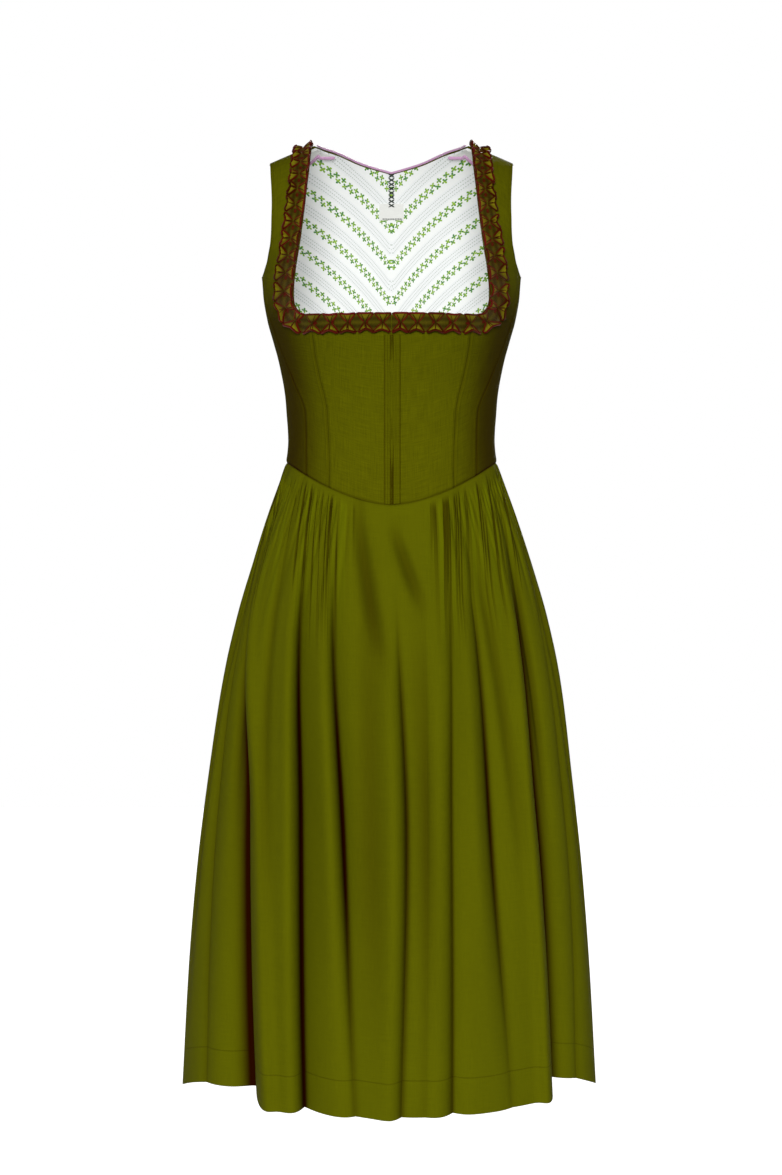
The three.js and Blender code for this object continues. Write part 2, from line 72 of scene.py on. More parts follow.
# ---- Tables and small sums -------------------------------------------------------------------

class Table:
    """Rows of named columns, read smoothly and without overshoot between the rows."""

    def __init__(self, names: str, rows: Sequence[Sequence[float]]) -> None:
        """Keep each column by its name.

        Args:
            names: the columns' names, parted by spaces.
            rows: one sequence of numbers for each section.
        """
        self.columns = {name: np.array([row[i] for row in rows], float)
                        for i, name in enumerate(names.split())}

    def read(self, key: str, at: Array, column: str) -> Array:
        """Read one column between its rows.

        Args:
            key: the column that is looked up.
            at: where to read.
            column: the column that is wanted.

        Returns:
            The values, in the shape of `at`.
        """
        keys = self.columns[key]
        values = self.columns[column]
        slopes = np.diff(values) / np.diff(keys)
        before, after = slopes[:-1], slopes[1:]
        same = before * after > 0
        tangents = np.concatenate([slopes[:1], np.zeros(len(same)), slopes[-1:]])
        tangents[1:-1][same] = (2 * before * after)[same] / (before + after)[same]
        at = np.clip(at, keys[0], keys[-1])
        i = np.clip(np.searchsorted(keys, at, side="right") - 1, 0, len(keys) - 2)
        span = keys[i + 1] - keys[i]
        s = (at - keys[i]) / span
        bend = s * (1 - s) ** 2 * span * tangents[i] - s * s * (1 - s) * span * tangents[i + 1]
        return values[i] + (values[i + 1] - values[i]) * s * s * (3 - 2 * s) + bend


def blend(a: Array, b: Array, share: Array) -> Array:
    """Go from a to b by a share."""
    return a + (b - a) * share


def ease(at: Array, low: float, high: float) -> Array:
    """Rise smoothly from 0 at low to 1 at high."""
    share = np.clip((at - low) / (high - low), 0.0, 1.0)
    return share * share * (3 - 2 * share)


def bell(at: Array, power: float = 2.0) -> Array:
    """A hump of height 1 about 0; a lower power gives it a sharper top."""
    return np.exp(-np.abs(at) ** power)


def signed_power(base: Array, power: Array) -> Array:
    """Raise the size of a number to a power and keep its sign."""
    return np.sign(base) * np.abs(base) ** power


def away_from(angle: Array, centre: Array) -> Array:
    """Give how far an angle lies from another, from -180 to 180 degrees."""
    return (angle - centre + 180) % 360 - 180


def unit(vectors: Array) -> Array:
    """Bring vectors to length 1."""
    return vectors / np.maximum(np.linalg.norm(vectors, axis=-1, keepdims=True), 1e-12)


# ---- The form under the cloth ----------------------------------------------------------------

TORSO = Table("up half front back power", [
    (640, 125, 102, 100, 2.15),
    (713, 121, 97, 91, 2.2),
    (740, 118.6, 94, 88, 2.25),
    (781, 121.4, 97, 92, 2.3),
    (822, 127.7, 105, 102, 2.35),
    (850, 135.2, 112, 108, 2.4),
    (878, 142.7, 118, 112, 2.4),
    (905, 147.2, 121, 115, 2.4),
    (925, 148.4, 121, 116, 2.4),
    (950, 155, 118, 116, 2.35),
    (985, 164, 113, 113, 2.3),
    (1040, 168, 108, 109, 2.2),
    (1160, 168, 104, 104, 2.2),
])
FRONT_SEAMS = Table("up inner outer", [
    (640, 70, 95), (690, 70, 95.5), (765, 72.5, 97), (803, 80.5, 110.5),
    (838, 87, 124.5), (872, 90, 136.5), (900, 90, 143.6), (925, 90, 147.6),
])
STRAP = Table("climb inner outer", [
    (872, 110, 137), (898, 110, 143), (925, 107.6, 145.5), (942, 105, 140.5),
    (962, 102, 136.5), (1006, 96.5, 134.5), (1060, 92.5, 137), (1140, 91, 141),
])
BACK_SEAM = Table("up angle", [(640, 128), (760, 124), (850, 112), (925, 104)])
BACK_NECK = Table("across up", [(0, 1059), (35, 1067), (70, 1077), (91, 1079)])
SPREAD = Table("drop side front back", [
    (0, 0, 0, 0), (0.04, 0.09, 0.05, 0.09), (0.09, 0.2, 0.12, 0.2), (0.17, 0.36, 0.25, 0.36),
    (0.25, 0.5, 0.38, 0.5), (0.37, 0.65, 0.55, 0.65), (0.5, 0.76, 0.7, 0.77),
    (0.66, 0.87, 0.84, 0.87), (0.82, 0.945, 0.93, 0.945), (1, 1, 1, 1),
])
HEM_LIFT = Table("angle lift", [(0, 1), (30, 5), (48, 11), (64, 15), (90, 1), (180, 0)])


@dataclass(frozen=True)
class Fold:
    """One deep fold of the skirt, from the waist to the hem.

    The angles say where it runs at the waist, high, in the middle and at the hem; depth is its
    depth in the middle and end at the hem; steep and gentle are its widths in degrees; start is
    the share of the height where it begins; rises is the side of its steep wall.
    """

    name: str
    waist: float
    high: float
    middle: float
    hem: float
    depth: float
    end: float
    steep: float
    gentle: float
    start: float
    rises: int

    def angle(self, drop: Array) -> Array:
        """Give the fold's angle for a share of the way down."""
        rows = [(0, self.waist), (0.2, self.high), (0.55, self.middle), (1, self.hem)]
        return Table("drop angle", rows).read("drop", drop, "angle")


FOLDS = [Fold(*row) for row in [
    ("centre_front", 0.5, 2.3, 4.8, 3, 16, 10, 1.6, 5, 0.12, -1),
    ("front_soft", 14, 12, 11, 9.5, 5, 3, 3, 4, 0.1, -1),
    ("front_left_inner", 28.5, 22.2, 18.5, 17, 12, 12, 1.7, 3, 0.04, -1),
    ("front_left_middle", 40.1, 31.6, 30.6, 34.2, 20, 3, 1.6, 5.5, 0.05, -1),
    ("front_left_outer", 68, 54.5, 50.5, 51, 40, 60, 1.6, 13, 0.06, -1),
    ("left_fore", 80, 74, 70, 67, 5, 5, 3, 5, 0.1, 1),
    ("left_side", 90, 90, 90, 90, 6, 6, 4, 5, 0.3, 1),
    ("left_aft", 106, 104.5, 103, 101, 22, 24, 2.6, 7, 0.05, 1),
    ("back_left_outer", 124, 122.5, 120.5, 119, 32, 38, 1.8, 9, 0.03, 1),
    ("back_left_middle", 140, 139.5, 138.8, 138, 22, 16, 1.8, 6, 0.06, -1),
    ("back_left_inner", 154, 154.5, 155.5, 157, 28, 30, 1.8, 7, 0.05, 1),
    ("back_middle", 172, 172.5, 173.2, 174, 16, 20, 2, 6, 0.12, -1),
    ("back_right_inner", 190, 189.5, 189.5, 191, 26, 28, 1.8, 7, 0.05, 1),
    ("back_right_middle", 207, 207.5, 208.5, 210, 24, 18, 1.8, 6, 0.08, -1),
    ("back_right_outer", 226, 227, 228, 229, 34, 40, 1.8, 9, 0.04, -1),
    ("right_aft", 245, 246, 247, 246, 20, 22, 2.6, 7, 0.06, 1),
    ("right_side", 270, 270, 270, 270, 6, 6, 4, 5, 0.3, 1),
    ("right_fore", 276, 282, 290, 297, 5, 5, 3, 5, 0.1, -1),
    ("front_right_outer", 281.5, 291.4, 311, 319.4, 30, 58, 1.8, 13, 0.05, 1),
    ("front_right_middle", 315.8, 324, 331.9, 335.8, 28, 22, 1.6, 5, 0.05, -1),
    ("front_right_inner", 332.8, 338.1, 345.2, 349.9, 24, 6, 1.6, 5, 0.05, -1),
]]


@dataclass(frozen=True)
class DressForm:
    """The form, empty inside, that every piece of cloth lies on, in millimetres.

    Names in `up` are heights above the hem plane. A fold grows to its depth over fold_grow of the
    skirt's height, starting at the share fold_early, and throws up a crest beside its steep wall.
    """

    shoulder_up: float = 1077.0
    shoulder_slope: float = 0.42
    strap_inner: float = 91.0
    chest_up: float = 985.0
    blade_up: float = 960.0
    underarm_up: float = 925.0
    neck_up: float = 872.0
    neck_half: float = 110.0
    neck_corner: float = 20.0
    waist_front_up: float = 662.0
    waist_side_up: float = 713.0
    waist_back_up: float = 692.0
    waist_dip: float = 1.7
    hem_half: float = 240.5
    hem_front: float = 217.0
    hem_back: float = 217.0
    hem_power: float = 1.9
    bust_up: float = 897.0
    bust_across: float = 76.0
    bust_out: float = 9.0
    edge_clear: float = 0.3
    fold_grow: float = 0.22
    fold_early: float = 0.45
    fold_power: float = 1.2
    crest_away: float = 2.8
    crest_width: float = 1.9
    crest_share: float = 0.22
    hem_rise: float = 0.16
    sideways: float = 8.0

    @staticmethod
    def is_front(angle: Array) -> Array:
        """Say where an angle lies on the front half."""
        return np.cos(np.radians(angle)) >= 0

    def ridge_up(self, across: Array) -> Array:
        """Give the height of the shoulder line at a half width."""
        return self.shoulder_up - (np.abs(across) - self.strap_inner) * self.shoulder_slope

    def front_top(self, across: Array) -> Array:
        """Give the climb at which the front meets the shoulder line."""
        rise = self.ridge_up(across) - self.chest_up
        return self.chest_up + rise * math.pi / 2 - self.edge_clear

    def back_top(self, across: Array) -> Array:
        """Give the climb of the back's upper edge: its neckline, then the shoulder line."""
        rise = self.ridge_up(across) - self.blade_up
        neck = BACK_NECK.read("across", np.abs(across), "up") - self.blade_up
        lean = np.arcsin(np.clip(neck / rise, 0, 1))
        return self.blade_up + rise * np.minimum(lean, math.pi / 2) - self.edge_clear

    def back_climb(self, across: Array, up: Array) -> Array:
        """Give the climb at which the back reaches a height."""
        reach = self.ridge_up(across) - self.blade_up
        return self.blade_up + reach * np.arcsin((up - self.blade_up) / reach)

    def across(self, angle: Array, climb: Array) -> Array:
        """Give the half width reached at an angle."""
        power = TORSO.read("up", climb, "power")
        half = TORSO.read("up", climb, "half")
        return half * signed_power(np.sin(np.radians(angle)), 2 / power)

    def angle_at(self, across: Array, climb: Array, front: bool) -> Array:
        """Give the angle at which the form has a half width, on its front or back."""
        power = TORSO.read("up", climb, "power")
        share = np.minimum(np.abs(across) / TORSO.read("up", climb, "half"), 1.0)
        angle = np.degrees(np.arcsin(share ** (power / 2)))
        return angle if front else 180 - angle

    def torso(self, angle: Array, climb: Array) -> Array:
        """Give points of the bodice's form.

        Args:
            angle: degrees round from the middle front.
            climb: millimetres up the cloth from the hem plane.

        Returns:
            Points in millimetres, in the dress's own frame.
        """
        front = self.is_front(angle)
        power = TORSO.read("up", climb, "power")
        x = self.across(angle, climb)
        depth = np.where(front, TORSO.read("up", climb, "front"), TORSO.read("up", climb, "back"))
        bust = bell((np.abs(x) - self.bust_across) / 46) * bell((climb - self.bust_up) / 52)
        depth = depth + np.where(front, self.bust_out * bust, 0)
        start = np.where(front, self.chest_up, self.blade_up)
        rise = self.ridge_up(x) - start
        lean = np.clip((climb - start) / rise, 0, math.pi / 2)
        up = np.where(climb > start, start + rise * np.sin(lean), climb)
        y = -depth * signed_power(np.cos(np.radians(angle)), 2 / power) * np.cos(lean)
        return np.stack([x, y, up - self.shoulder_up], axis=-1)

    def place(self, across: Array, climb: Array, front: bool) -> Array:
        """Give points of the bodice's form at half widths, which are negative to the right."""
        angle = self.angle_at(across, climb, front) * np.where(across < 0, -1, 1)
        return self.torso(angle, climb)

    def waist_up(self, angle: Array) -> Array:
        """Give the height of the waist seam, which dips to the middle front and back."""
        middle = np.where(self.is_front(angle), self.waist_front_up, self.waist_back_up)
        aside = np.abs(np.sin(np.radians(angle))) ** (2 / 2.2)
        return blend(middle, self.waist_side_up, aside ** self.waist_dip)

    def folds(self, angle: Array, drop: Array) -> tuple[Array, Array]:
        """Give how far the deep folds push the cloth inwards, and how much painted shade they put
        on it.

        Args:
            angle: degrees round from the middle front.
            drop: the share of the way from the waist seam to the hem.

        Returns:
            The push in millimetres, and a share of painted shade from 0 to 1.
        """
        depth = np.zeros_like(angle)
        painted_shade_share = np.zeros_like(angle)
        for fold in FOLDS:
            away = away_from(angle, fold.angle(drop))
            width = np.where(away * fold.rises > 0, fold.steep, fold.gentle)
            grown = (ease(drop, fold.start, fold.start + self.fold_grow)
                     * blend(self.fold_early, 1, ease(drop, 0.1, 0.55)))
            size = blend(fold.depth, fold.end, ease(drop, 0.5, 1)) * grown
            wall = away * fold.rises / fold.steep
            crest = self.crest_share * bell((wall - self.crest_away) / self.crest_width)
            depth += size * (bell(away / width, self.fold_power) - crest)
            # Painted shade on the steep wall and in the trough of each fold.
            share = np.clip(size / 20, 0, 1.2)
            painted_shade_share += share * np.where(wall > 0, bell(wall / 0.6),
                                       bell(away / (0.1 * width + 0.021 * width ** 2)))
        return depth, painted_shade_share

    def skirt(self, angle: Array, drop: Array, push: Array) -> Array:
        """Give points of the skirt.

        Args:
            angle: degrees round from the middle front.
            drop: the share of the way from the waist seam to the hem.
            push: millimetres that folds and gathers take the cloth inwards.

        Returns:
            Points in millimetres, in the dress's own frame.
        """
        turn = np.radians(angle)
        front = self.is_front(angle)
        waist = self.torso(angle, self.waist_up(angle))
        hem_depth = np.where(front, self.hem_front, self.hem_back)
        hem_x = self.hem_half * signed_power(np.sin(turn), 2 / self.hem_power)
        hem_y = -hem_depth * signed_power(np.cos(turn), 2 / self.hem_power)
        hem_up = HEM_LIFT.read("angle", np.abs(away_from(angle, 0)), "lift")
        depth_share = np.where(front, SPREAD.read("drop", drop, "front"),
                               SPREAD.read("drop", drop, "back"))
        x = blend(waist[..., 0], hem_x, SPREAD.read("drop", drop, "side"))
        y = blend(waist[..., 1], hem_y, depth_share)
        up = blend(self.waist_up(angle), hem_up, drop)
        up = up + self.hem_rise * push * drop ** 3
        reach = np.hypot(x, y)
        aside = signed_power(x / reach, self.sideways)
        back = np.sign(y) * np.sqrt(1 - aside ** 2)
        return np.stack([x - push * aside, y - push * back, up - self.shoulder_up], axis=-1)


# ---- Meshes from grids -----------------------------------------------------------------------

@dataclass
class Grid:
    """A grid of points, rows upwards and columns round, with what is known at each point."""

    points: Array
    marks: dict[str, Array] = field(default_factory=dict)
    uv: Array | None = None
    turn: Array | None = None

    def normals(self) -> Array:
        """Give the outward normals from the grid's own directions."""
        across = np.gradient(self.points, axis=1)
        upward = np.gradient(self.points, axis=0)
        return unit(np.cross(across, upward))

    def run_across(self) -> Array:
        """Give the distance along each row from its first point."""
        steps = np.linalg.norm(np.diff(self.points, axis=1), axis=-1)
        return np.concatenate([np.zeros((len(steps), 1)), np.cumsum(steps, axis=1)], axis=1)

    def run_up(self) -> Array:
        """Give the distance up each column from its first point."""
        steps = np.linalg.norm(np.diff(self.points, axis=0), axis=-1)
        return np.concatenate([np.zeros((1, steps.shape[1])), np.cumsum(steps, axis=0)], axis=0)

    def own_uv(self, start: float = 0.0) -> Array:
        """Give each point's place in the cloth in metres, from a start across in millimetres."""
        return np.stack([self.run_across() + start, self.run_up()], axis=-1) * MM

    def pushed(self, out: Array) -> "Grid":
        """Move the points out along their normals."""
        moved = self.points + self.normals() * np.asarray(out)[..., None]
        return Grid(moved, self.marks, self.uv)

    def mirrored(self) -> "Grid":
        """Turn a left-hand grid over to the right."""
        points = (self.points * MIRROR)[:, ::-1]
        marks = {name: values[:, ::-1] for name, values in self.marks.items()}
        uv = None if self.uv is None else (self.uv * MIRROR[:2])[:, ::-1]
        return Grid(points, marks, uv)

    def both(self) -> tuple[tuple[str, "Grid"], ...]:
        """Give the left-hand grid and its right-hand copy, each with its side's name."""
        return ("left", self), ("right", self.mirrored())


class MeshPile:
    """Gathers walls, sheets and tubes and makes one object of them."""

    def __init__(self) -> None:
        """Start with nothing."""
        self.vertices: list[Array] = []
        self.faces: list[Array] = []
        self.uvs: list[Array] = []
        self.marks: dict[str, list[Array]] = {}
        self.count = 0

    def add(self, points: Array, faces: Array, uv: Array, marks: dict[str, Array]) -> None:
        """Add loose geometry.

        Args:
            points: vertices in millimetres.
            faces: four vertex numbers a face.
            uv: a place in the cloth for each vertex, in metres.
            marks: values for each vertex, by name.
        """
        for name in marks:
            if name not in self.marks:
                self.marks[name] = [np.zeros(self.count)] if self.count else []
        self.vertices.append(points)
        self.faces.append(faces + self.count)
        self.uvs.append(uv)
        for name, kept in self.marks.items():
            kept.append(marks.get(name, np.zeros(len(points))))
        self.count += len(points)

    def wall(self, grid: Grid, thick: float) -> None:
        """Add a closed wall: an outer face on the grid and an inner face a thickness behind.

        Args:
            grid: the cloth's outer face.
            thick: millimetres between the two faces.
        """
        rows, columns = grid.points.shape[:2]
        layer = rows * columns
        inner = grid.points - grid.normals() * thick
        number = np.arange(layer).reshape(rows, columns)
        front = np.stack([number[:-1, :-1], number[:-1, 1:], number[1:, 1:], number[1:, :-1]],
                         axis=-1).reshape(-1, 4)
        back = np.flip(front, axis=1) + layer
        ring = np.concatenate([number[0, :-1], number[:-1, -1], number[-1, :0:-1],
                               number[:0:-1, 0]])
        following = np.roll(ring, -1)
        rim = np.stack([ring, ring + layer, following + layer, following], axis=-1)
        uv = grid.own_uv() if grid.uv is None else grid.uv
        marks = {name: np.tile(values.reshape(-1), 2) for name, values in grid.marks.items()}
        marks["inside"] = np.repeat([0.0, 1.0], layer)
        self.add(np.concatenate([grid.points.reshape(-1, 3), inner.reshape(-1, 3)]),
                 np.concatenate([front, back, rim]), np.tile(uv.reshape(-1, 2), (2, 1)), marks)

    def tube(self, path: Array, radius: float, sides: int = 8, marks: dict | None = None) -> None:
        """Add a closed round tube along a path.

        Args:
            path: its points in millimetres.
            radius: its radius in millimetres.
            sides: how many sides it has.
            marks: one value for the whole tube, by name.
        """
        along = unit(np.gradient(path, axis=0))
        guide = np.where(np.abs(along[:, 2:3]) > 0.9, [[0.0, 1.0, 0.0]], [[0.0, 0.0, 1.0]])
        aside = unit(np.cross(along, guide))
        upward = np.cross(aside, along)
        turn = np.linspace(0, FULL_TURN, sides, endpoint=False)
        scale = np.full(len(path), radius)
        scale[[0, -1]] = 0.45 * radius
        ring = (np.cos(turn)[None, :, None] * aside[:, None] + np.sin(turn)[None, :, None]
                * upward[:, None]) * scale[:, None, None]
        points = (path[:, None] + ring).reshape(-1, 3)
        start = np.arange(len(path) - 1)[:, None] * sides
        here = np.arange(sides)[None, :]
        after = (here + 1) % sides
        faces = np.stack([start + here, start + sides + here, start + sides + after,
                          start + after], axis=-1).reshape(-1, 4)
        last = (len(path) - 1) * sides
        caps = [[0, i, i + 1, i + 2] for i in range(1, sides - 2, 2)]
        ends = [[last, last + i + 2, last + i + 1, last + i] for _, i, *_ in caps]
        length = np.linalg.norm(np.gradient(path, axis=0), axis=1).cumsum()
        uv = np.stack([np.tile(turn / 6.3, len(path)) * radius, np.repeat(length, sides)],
                      axis=-1) * MM
        values = {name: np.full(len(points), value) for name, value in (marks or {}).items()}
        self.add(points, np.concatenate([faces, np.array(caps + ends)]), uv, values)

    def turn_over(self) -> None:
        """Turn all that is in it over to the other side of the dress."""
        self.vertices = [part * MIRROR for part in self.vertices]
        self.faces = [part[:, ::-1] for part in self.faces]

    def make(self, name: str, sharp: float = 50.0) -> bpy.types.Object:
        """Make the object.

        Args:
            name: the piece's name.
            sharp: degrees above which an edge stays sharp.

        Returns:
            The new object, in metres at the origin.
        """
        vertices = np.concatenate(self.vertices) * MM
        faces = np.concatenate(self.faces)
        mesh = bpy.data.meshes.new(name)
        mesh.from_pydata(vertices.tolist(), [], faces.tolist())
        corners = np.empty(len(mesh.loops), int)
        mesh.loops.foreach_get("vertex_index", corners)
        layer = mesh.uv_layers.new(name="cloth")
        layer.data.foreach_set("uv", np.concatenate(self.uvs)[corners].astype("f").ravel())
        for mark, values in self.marks.items():
            attribute = mesh.attributes.new(mark, "FLOAT", "POINT")
            attribute.data.foreach_set("value", np.concatenate(values).astype("f"))
        mesh.shade_smooth()
        mesh.set_sharp_from_angle(angle=math.radians(sharp))
        mesh.update()
        piece = bpy.data.objects.new(name, mesh)
        bpy.context.scene.collection.objects.link(piece)
        return piece


# ---- Shader sums -----------------------------------------------------------------------------

def tone(red: int, green: int, blue: int) -> tuple[float, float, float, float]:
    """Turn a display colour of 0 to 255 into the renderer's linear one."""
    parts = np.array([red, green, blue]) / 255
    linear = np.where(parts <= 0.04045, parts / 12.92, ((parts + 0.055) / 1.055) ** 2.4)
    return (*linear.tolist(), 1.0)


class Value:
    """A number in a shader; sums on it add Math nodes."""

    def __init__(self, recipe: "Nodes", socket: bpy.types.NodeSocket) -> None:
        """Wrap a socket of a node tree."""
        self.recipe = recipe
        self.socket = socket

    def maths(self, operation: str, *parts: "Value | float", clamp: bool = False) -> "Value":
        """Add a Math node.

        Args:
            operation: the node's operation.
            parts: its inputs, in order.
            clamp: whether the result is kept between 0 and 1.

        Returns:
            The node's result.
        """
        node = self.recipe.add("ShaderNodeMath", {"operation": operation, "use_clamp": clamp},
                               dict(enumerate(parts)))
        return Value(self.recipe, node.outputs[0])

    def __add__(self, other: "Value | float") -> "Value":
        """Add."""
        return self.maths("ADD", self, other)

    def __sub__(self, other: "Value | float") -> "Value":
        """Take away."""
        return self.maths("SUBTRACT", self, other)

    def __mul__(self, other: "Value | float") -> "Value":
        """Multiply."""
        return self.maths("MULTIPLY", self, other)

    def __truediv__(self, other: "Value | float") -> "Value":
        """Divide."""
        return self.maths("DIVIDE", self, other)

    def __mod__(self, other: "Value | float") -> "Value":
        """Give what is left over a whole number of times, never negative."""
        return self.maths("FLOORED_MODULO", self, other)

    def __lt__(self, other: "Value | float") -> "Value":
        """Give 1 where it is less."""
        return self.maths("LESS_THAN", self, other)

    def __abs__(self) -> "Value":
        """Give the size."""
        return self.maths("ABSOLUTE", self)

    def floor(self) -> "Value":
        """Give the whole number below."""
        return self.maths("FLOOR", self)

    def sine(self) -> "Value":
        """Give the sine."""
        return self.maths("SINE", self)

    def cosine(self) -> "Value":
        """Give the cosine."""
        return self.maths("COSINE", self)

    def clear(self) -> "Value":
        """Keep between 0 and 1."""
        return self.maths("ADD", self, 0.0, clamp=True)

    def fade(self, low: float, high: float) -> "Value":
        """Rise smoothly from 0 at low to 1 at high, or fall where high is the lower."""
        node = self.recipe.add("ShaderNodeMapRange", {"interpolation_type": "SMOOTHSTEP"},
                               {"Value": self, "From Min": min(low, high),
                                "From Max": max(low, high),
                                "To Min": 0.0 if low < high else 1.0,
                                "To Max": 1.0 if low < high else 0.0})
        return Value(self.recipe, node.outputs["Result"])


class Nodes:
    """The nodes of a material or of the world."""

    def __init__(self, owner: bpy.types.ID) -> None:
        """Empty the node tree of a material or world."""
        owner.use_nodes = True
        self.tree = owner.node_tree
        self.tree.nodes.clear()

    def feed(self, socket: bpy.types.NodeSocket, source: object) -> None:
        """Set a socket to a number or colour, or link it.

        Args:
            socket: the input.
            source: a Value, a socket, or a constant.
        """
        if isinstance(source, Value):
            self.tree.links.new(source.socket, socket)
        elif isinstance(source, bpy.types.NodeSocket):
            self.tree.links.new(source, socket)
        else:
            socket.default_value = source

    def add(self, kind: str, settings: dict, inputs: dict) -> bpy.types.Node:
        """Add a node.

        Args:
            kind: the node's type.
            settings: its own settings, set first.
            inputs: what goes into its sockets, by name or place.

        Returns:
            The node.
        """
        node = self.tree.nodes.new(kind)
        for setting, value in settings.items():
            setattr(node, setting, value)
        for socket, source in inputs.items():
            self.feed(node.inputs[socket], source)
        return node


class Recipe(Nodes):
    """One material under construction."""

    def __init__(self, name: str) -> None:
        """Start an empty material with its output and main shader."""
        self.material = bpy.data.materials.new(name)
        super().__init__(self.material)
        self.shader = self.add("ShaderNodeBsdfPrincipled", {}, {})
        self.output = self.add("ShaderNodeOutputMaterial", {},
                               {"Surface": self.shader.outputs["BSDF"]})

    def cloth(self) -> tuple[Value, Value]:
        """Give the place in the cloth, across and along, in metres."""
        place = self.add("ShaderNodeUVMap", {"uv_map": "cloth"}, {})
        parts = self.add("ShaderNodeSeparateXYZ", {}, {0: place.outputs[0]})
        return Value(self, parts.outputs[0]), Value(self, parts.outputs[1])

    def mark(self, name: str) -> Value:
        """Give one of the mesh's own values."""
        node = self.add("ShaderNodeAttribute", {"attribute_name": name}, {})
        return Value(self, node.outputs["Fac"])

    def noise(self, across: Value, along: Value, scale: tuple[float, float],
              detail: float = 2.0, seed: float = 0.0) -> Value:
        """Give uneven tone over the cloth.

        Args:
            across: place across, in metres.
            along: place along, in metres.
            scale: spots a metre across and along.
            detail: how much finer tone rides on it.
            seed: another number gives another pattern.

        Returns:
            Values about 0.5.
        """
        place = self.add("ShaderNodeCombineXYZ", {},
                         {0: across * scale[0], 1: along * scale[1], 2: seed})
        node = self.add("ShaderNodeTexNoise", {},
                        {"Vector": place.outputs[0], "Scale": 1.0, "Detail": detail})
        return Value(self, node.outputs[0])

    def weave(self, across: Value, along: Value, threads: float) -> Value:
        """Give the rise and fall of woven threads, so many a metre."""
        step = FULL_TURN * threads
        return (across * step).sine() * (along * step).sine()

    def mix(self, share: "Value | float", first: object,
            second: object) -> bpy.types.NodeSocket:
        """Mix two colours.

        Args:
            share: how much of the second.
            first: a colour or its socket.
            second: a colour or its socket.

        Returns:
            The mixed colour's socket.
        """
        node = self.add("ShaderNodeMix", {"data_type": "RGBA"},
                        {0: share, 6: first, 7: second})
        return node.outputs[2]

    def bump(self, height: Value, distance: float, strength: float) -> None:
        """Let a height in metres roughen the main shader's normal."""
        node = self.add("ShaderNodeBump", {}, {"Height": height, "Distance": distance,
                                               "Strength": strength})
        self.feed(self.shader.inputs["Normal"], node.outputs[0])

    def shade(self, **inputs: object) -> bpy.types.Material:
        """Feed the main shader and give the material."""
        for name, source in inputs.items():
            self.feed(self.shader.inputs[name.replace("_", " ")], source)
        return self.material


# ---- Finishes --------------------------------------------------------------------------------

@dataclass(frozen=True)
class ClothFinish:
    """A dyed plain-woven cloth with painted shade, darker and redder, deep in its folds; where it
    is gathered, painted shade in the puckers and a painted highlight on the ridges.
    """

    name: str
    lit: Colour
    # deep is the colour of the painted shade in folds and creases; stitched lines also darken
    # towards it.
    deep: Colour
    slub: float
    threads: float
    roughness: float
    sheen: float
    stitches: tuple[float, ...] = ()
    hem_stitch: float = 0.0
    # ridge_lit is the painted highlight on the ridges of the gathers.
    ridge_lit: Colour = (112, 122, 4)
    sheen_tint: Colour = (150, 62, 8)
    shine_tint: Colour = (200, 190, 40)

    def stitched(self, recipe: Recipe, near: Value, dash: Value, shade: float,
                 look: tuple[bpy.types.NodeSocket, Value],
                 lift: tuple[float, float]) -> tuple[bpy.types.NodeSocket, Value]:
        """Sew a line of stitches: the cloth sinks and darkens, the threads stand up.

        Args:
            recipe: the material.
            near: 1 on the line and 0 away from it.
            dash: 1 on each stitch.
            shade: how much darker the line is.
            look: the cloth's colour and height before it is sewn.
            lift: how far the cloth sinks and the stitches rise.

        Returns:
            The colour and the height once it is sewn.
        """
        colour = recipe.mix(near * shade, look[0], tone(*self.deep))
        return colour, look[1] - near * lift[0] + dash * lift[1]

    def material(self) -> bpy.types.Material:
        """Make the material."""
        recipe = Recipe(self.name)
        across, along = recipe.cloth()
        warp = recipe.noise(across, along, (900.0, 45.0), 2.0, 3.0)
        weft = recipe.noise(across, along, (45.0, 900.0), 2.0, 7.0)
        cloud = recipe.noise(across, along, (14.0, 9.0), 3.0, 11.0)
        slub = (warp + weft - 1.0) * self.slub
        tone_share = (slub + (cloud - 0.5) * 0.22 + 0.5).clear()
        darker = tuple(int(part * 0.8) for part in self.lit)
        lighter = tuple(min(255, int(part * 1.13)) for part in self.lit)
        colour = recipe.mix(tone_share, tone(*darker), tone(*lighter))
        # Painted shade: darker and redder where the painted_shade mark says the cloth lies deep
        # in a fold, crease or seam, or turns from the light.
        painted_shade = recipe.mark("painted_shade")
        colour = recipe.mix(painted_shade.clear(), colour, tone(*self.deep))
        height = recipe.weave(across, along, self.threads) * 0.25 + slub * 1.6
        for line in self.stitches:
            near = abs(recipe.mark("edge") - line).fade(0.55, 0.1)
            dash = ((along * 380.0) % 1.0).fade(0.1, 0.3) * near
            colour, height = self.stitched(recipe, near, dash, 0.22, (colour, height), (1.5, 1.1))
        if self.hem_stitch:
            ridge = recipe.noise(across, along, (150.0, 2.6), 1.5, 21.0)
            gather = recipe.mark("gather")
            # Painted shade in the puckers of the gathers, which also sink in the bump, and a
            # painted highlight on the ridges between them.
            pucker = ridge.fade(0.45, 0.39) * gather
            colour = recipe.mix(pucker * 0.62, colour, tone(*self.deep))
            crest = ridge.fade(0.5, 0.62) * gather
            colour = recipe.mix(crest * 0.35, colour, tone(*self.ridge_lit))
            height = height - pucker * 7.0
            near = abs(along - self.hem_stitch).fade(0.0009, 0.0002)
            dash = ((across * 330.0) % 1.0).fade(0.15, 0.35) * near
            colour, height = self.stitched(recipe, near, dash, 0.25, (colour, height), (1.8, 0.9))
        recipe.bump(height, 0.00022, 0.9)
        rough = (cloud - 0.5) * 0.1 + self.roughness
        return recipe.shade(Base_Color=colour, Roughness=rough, Sheen_Weight=self.sheen,
                            Sheen_Roughness=0.5, Sheen_Tint=tone(*self.sheen_tint),
                            Specular_IOR_Level=0.03, Specular_Tint=tone(*self.shine_tint))


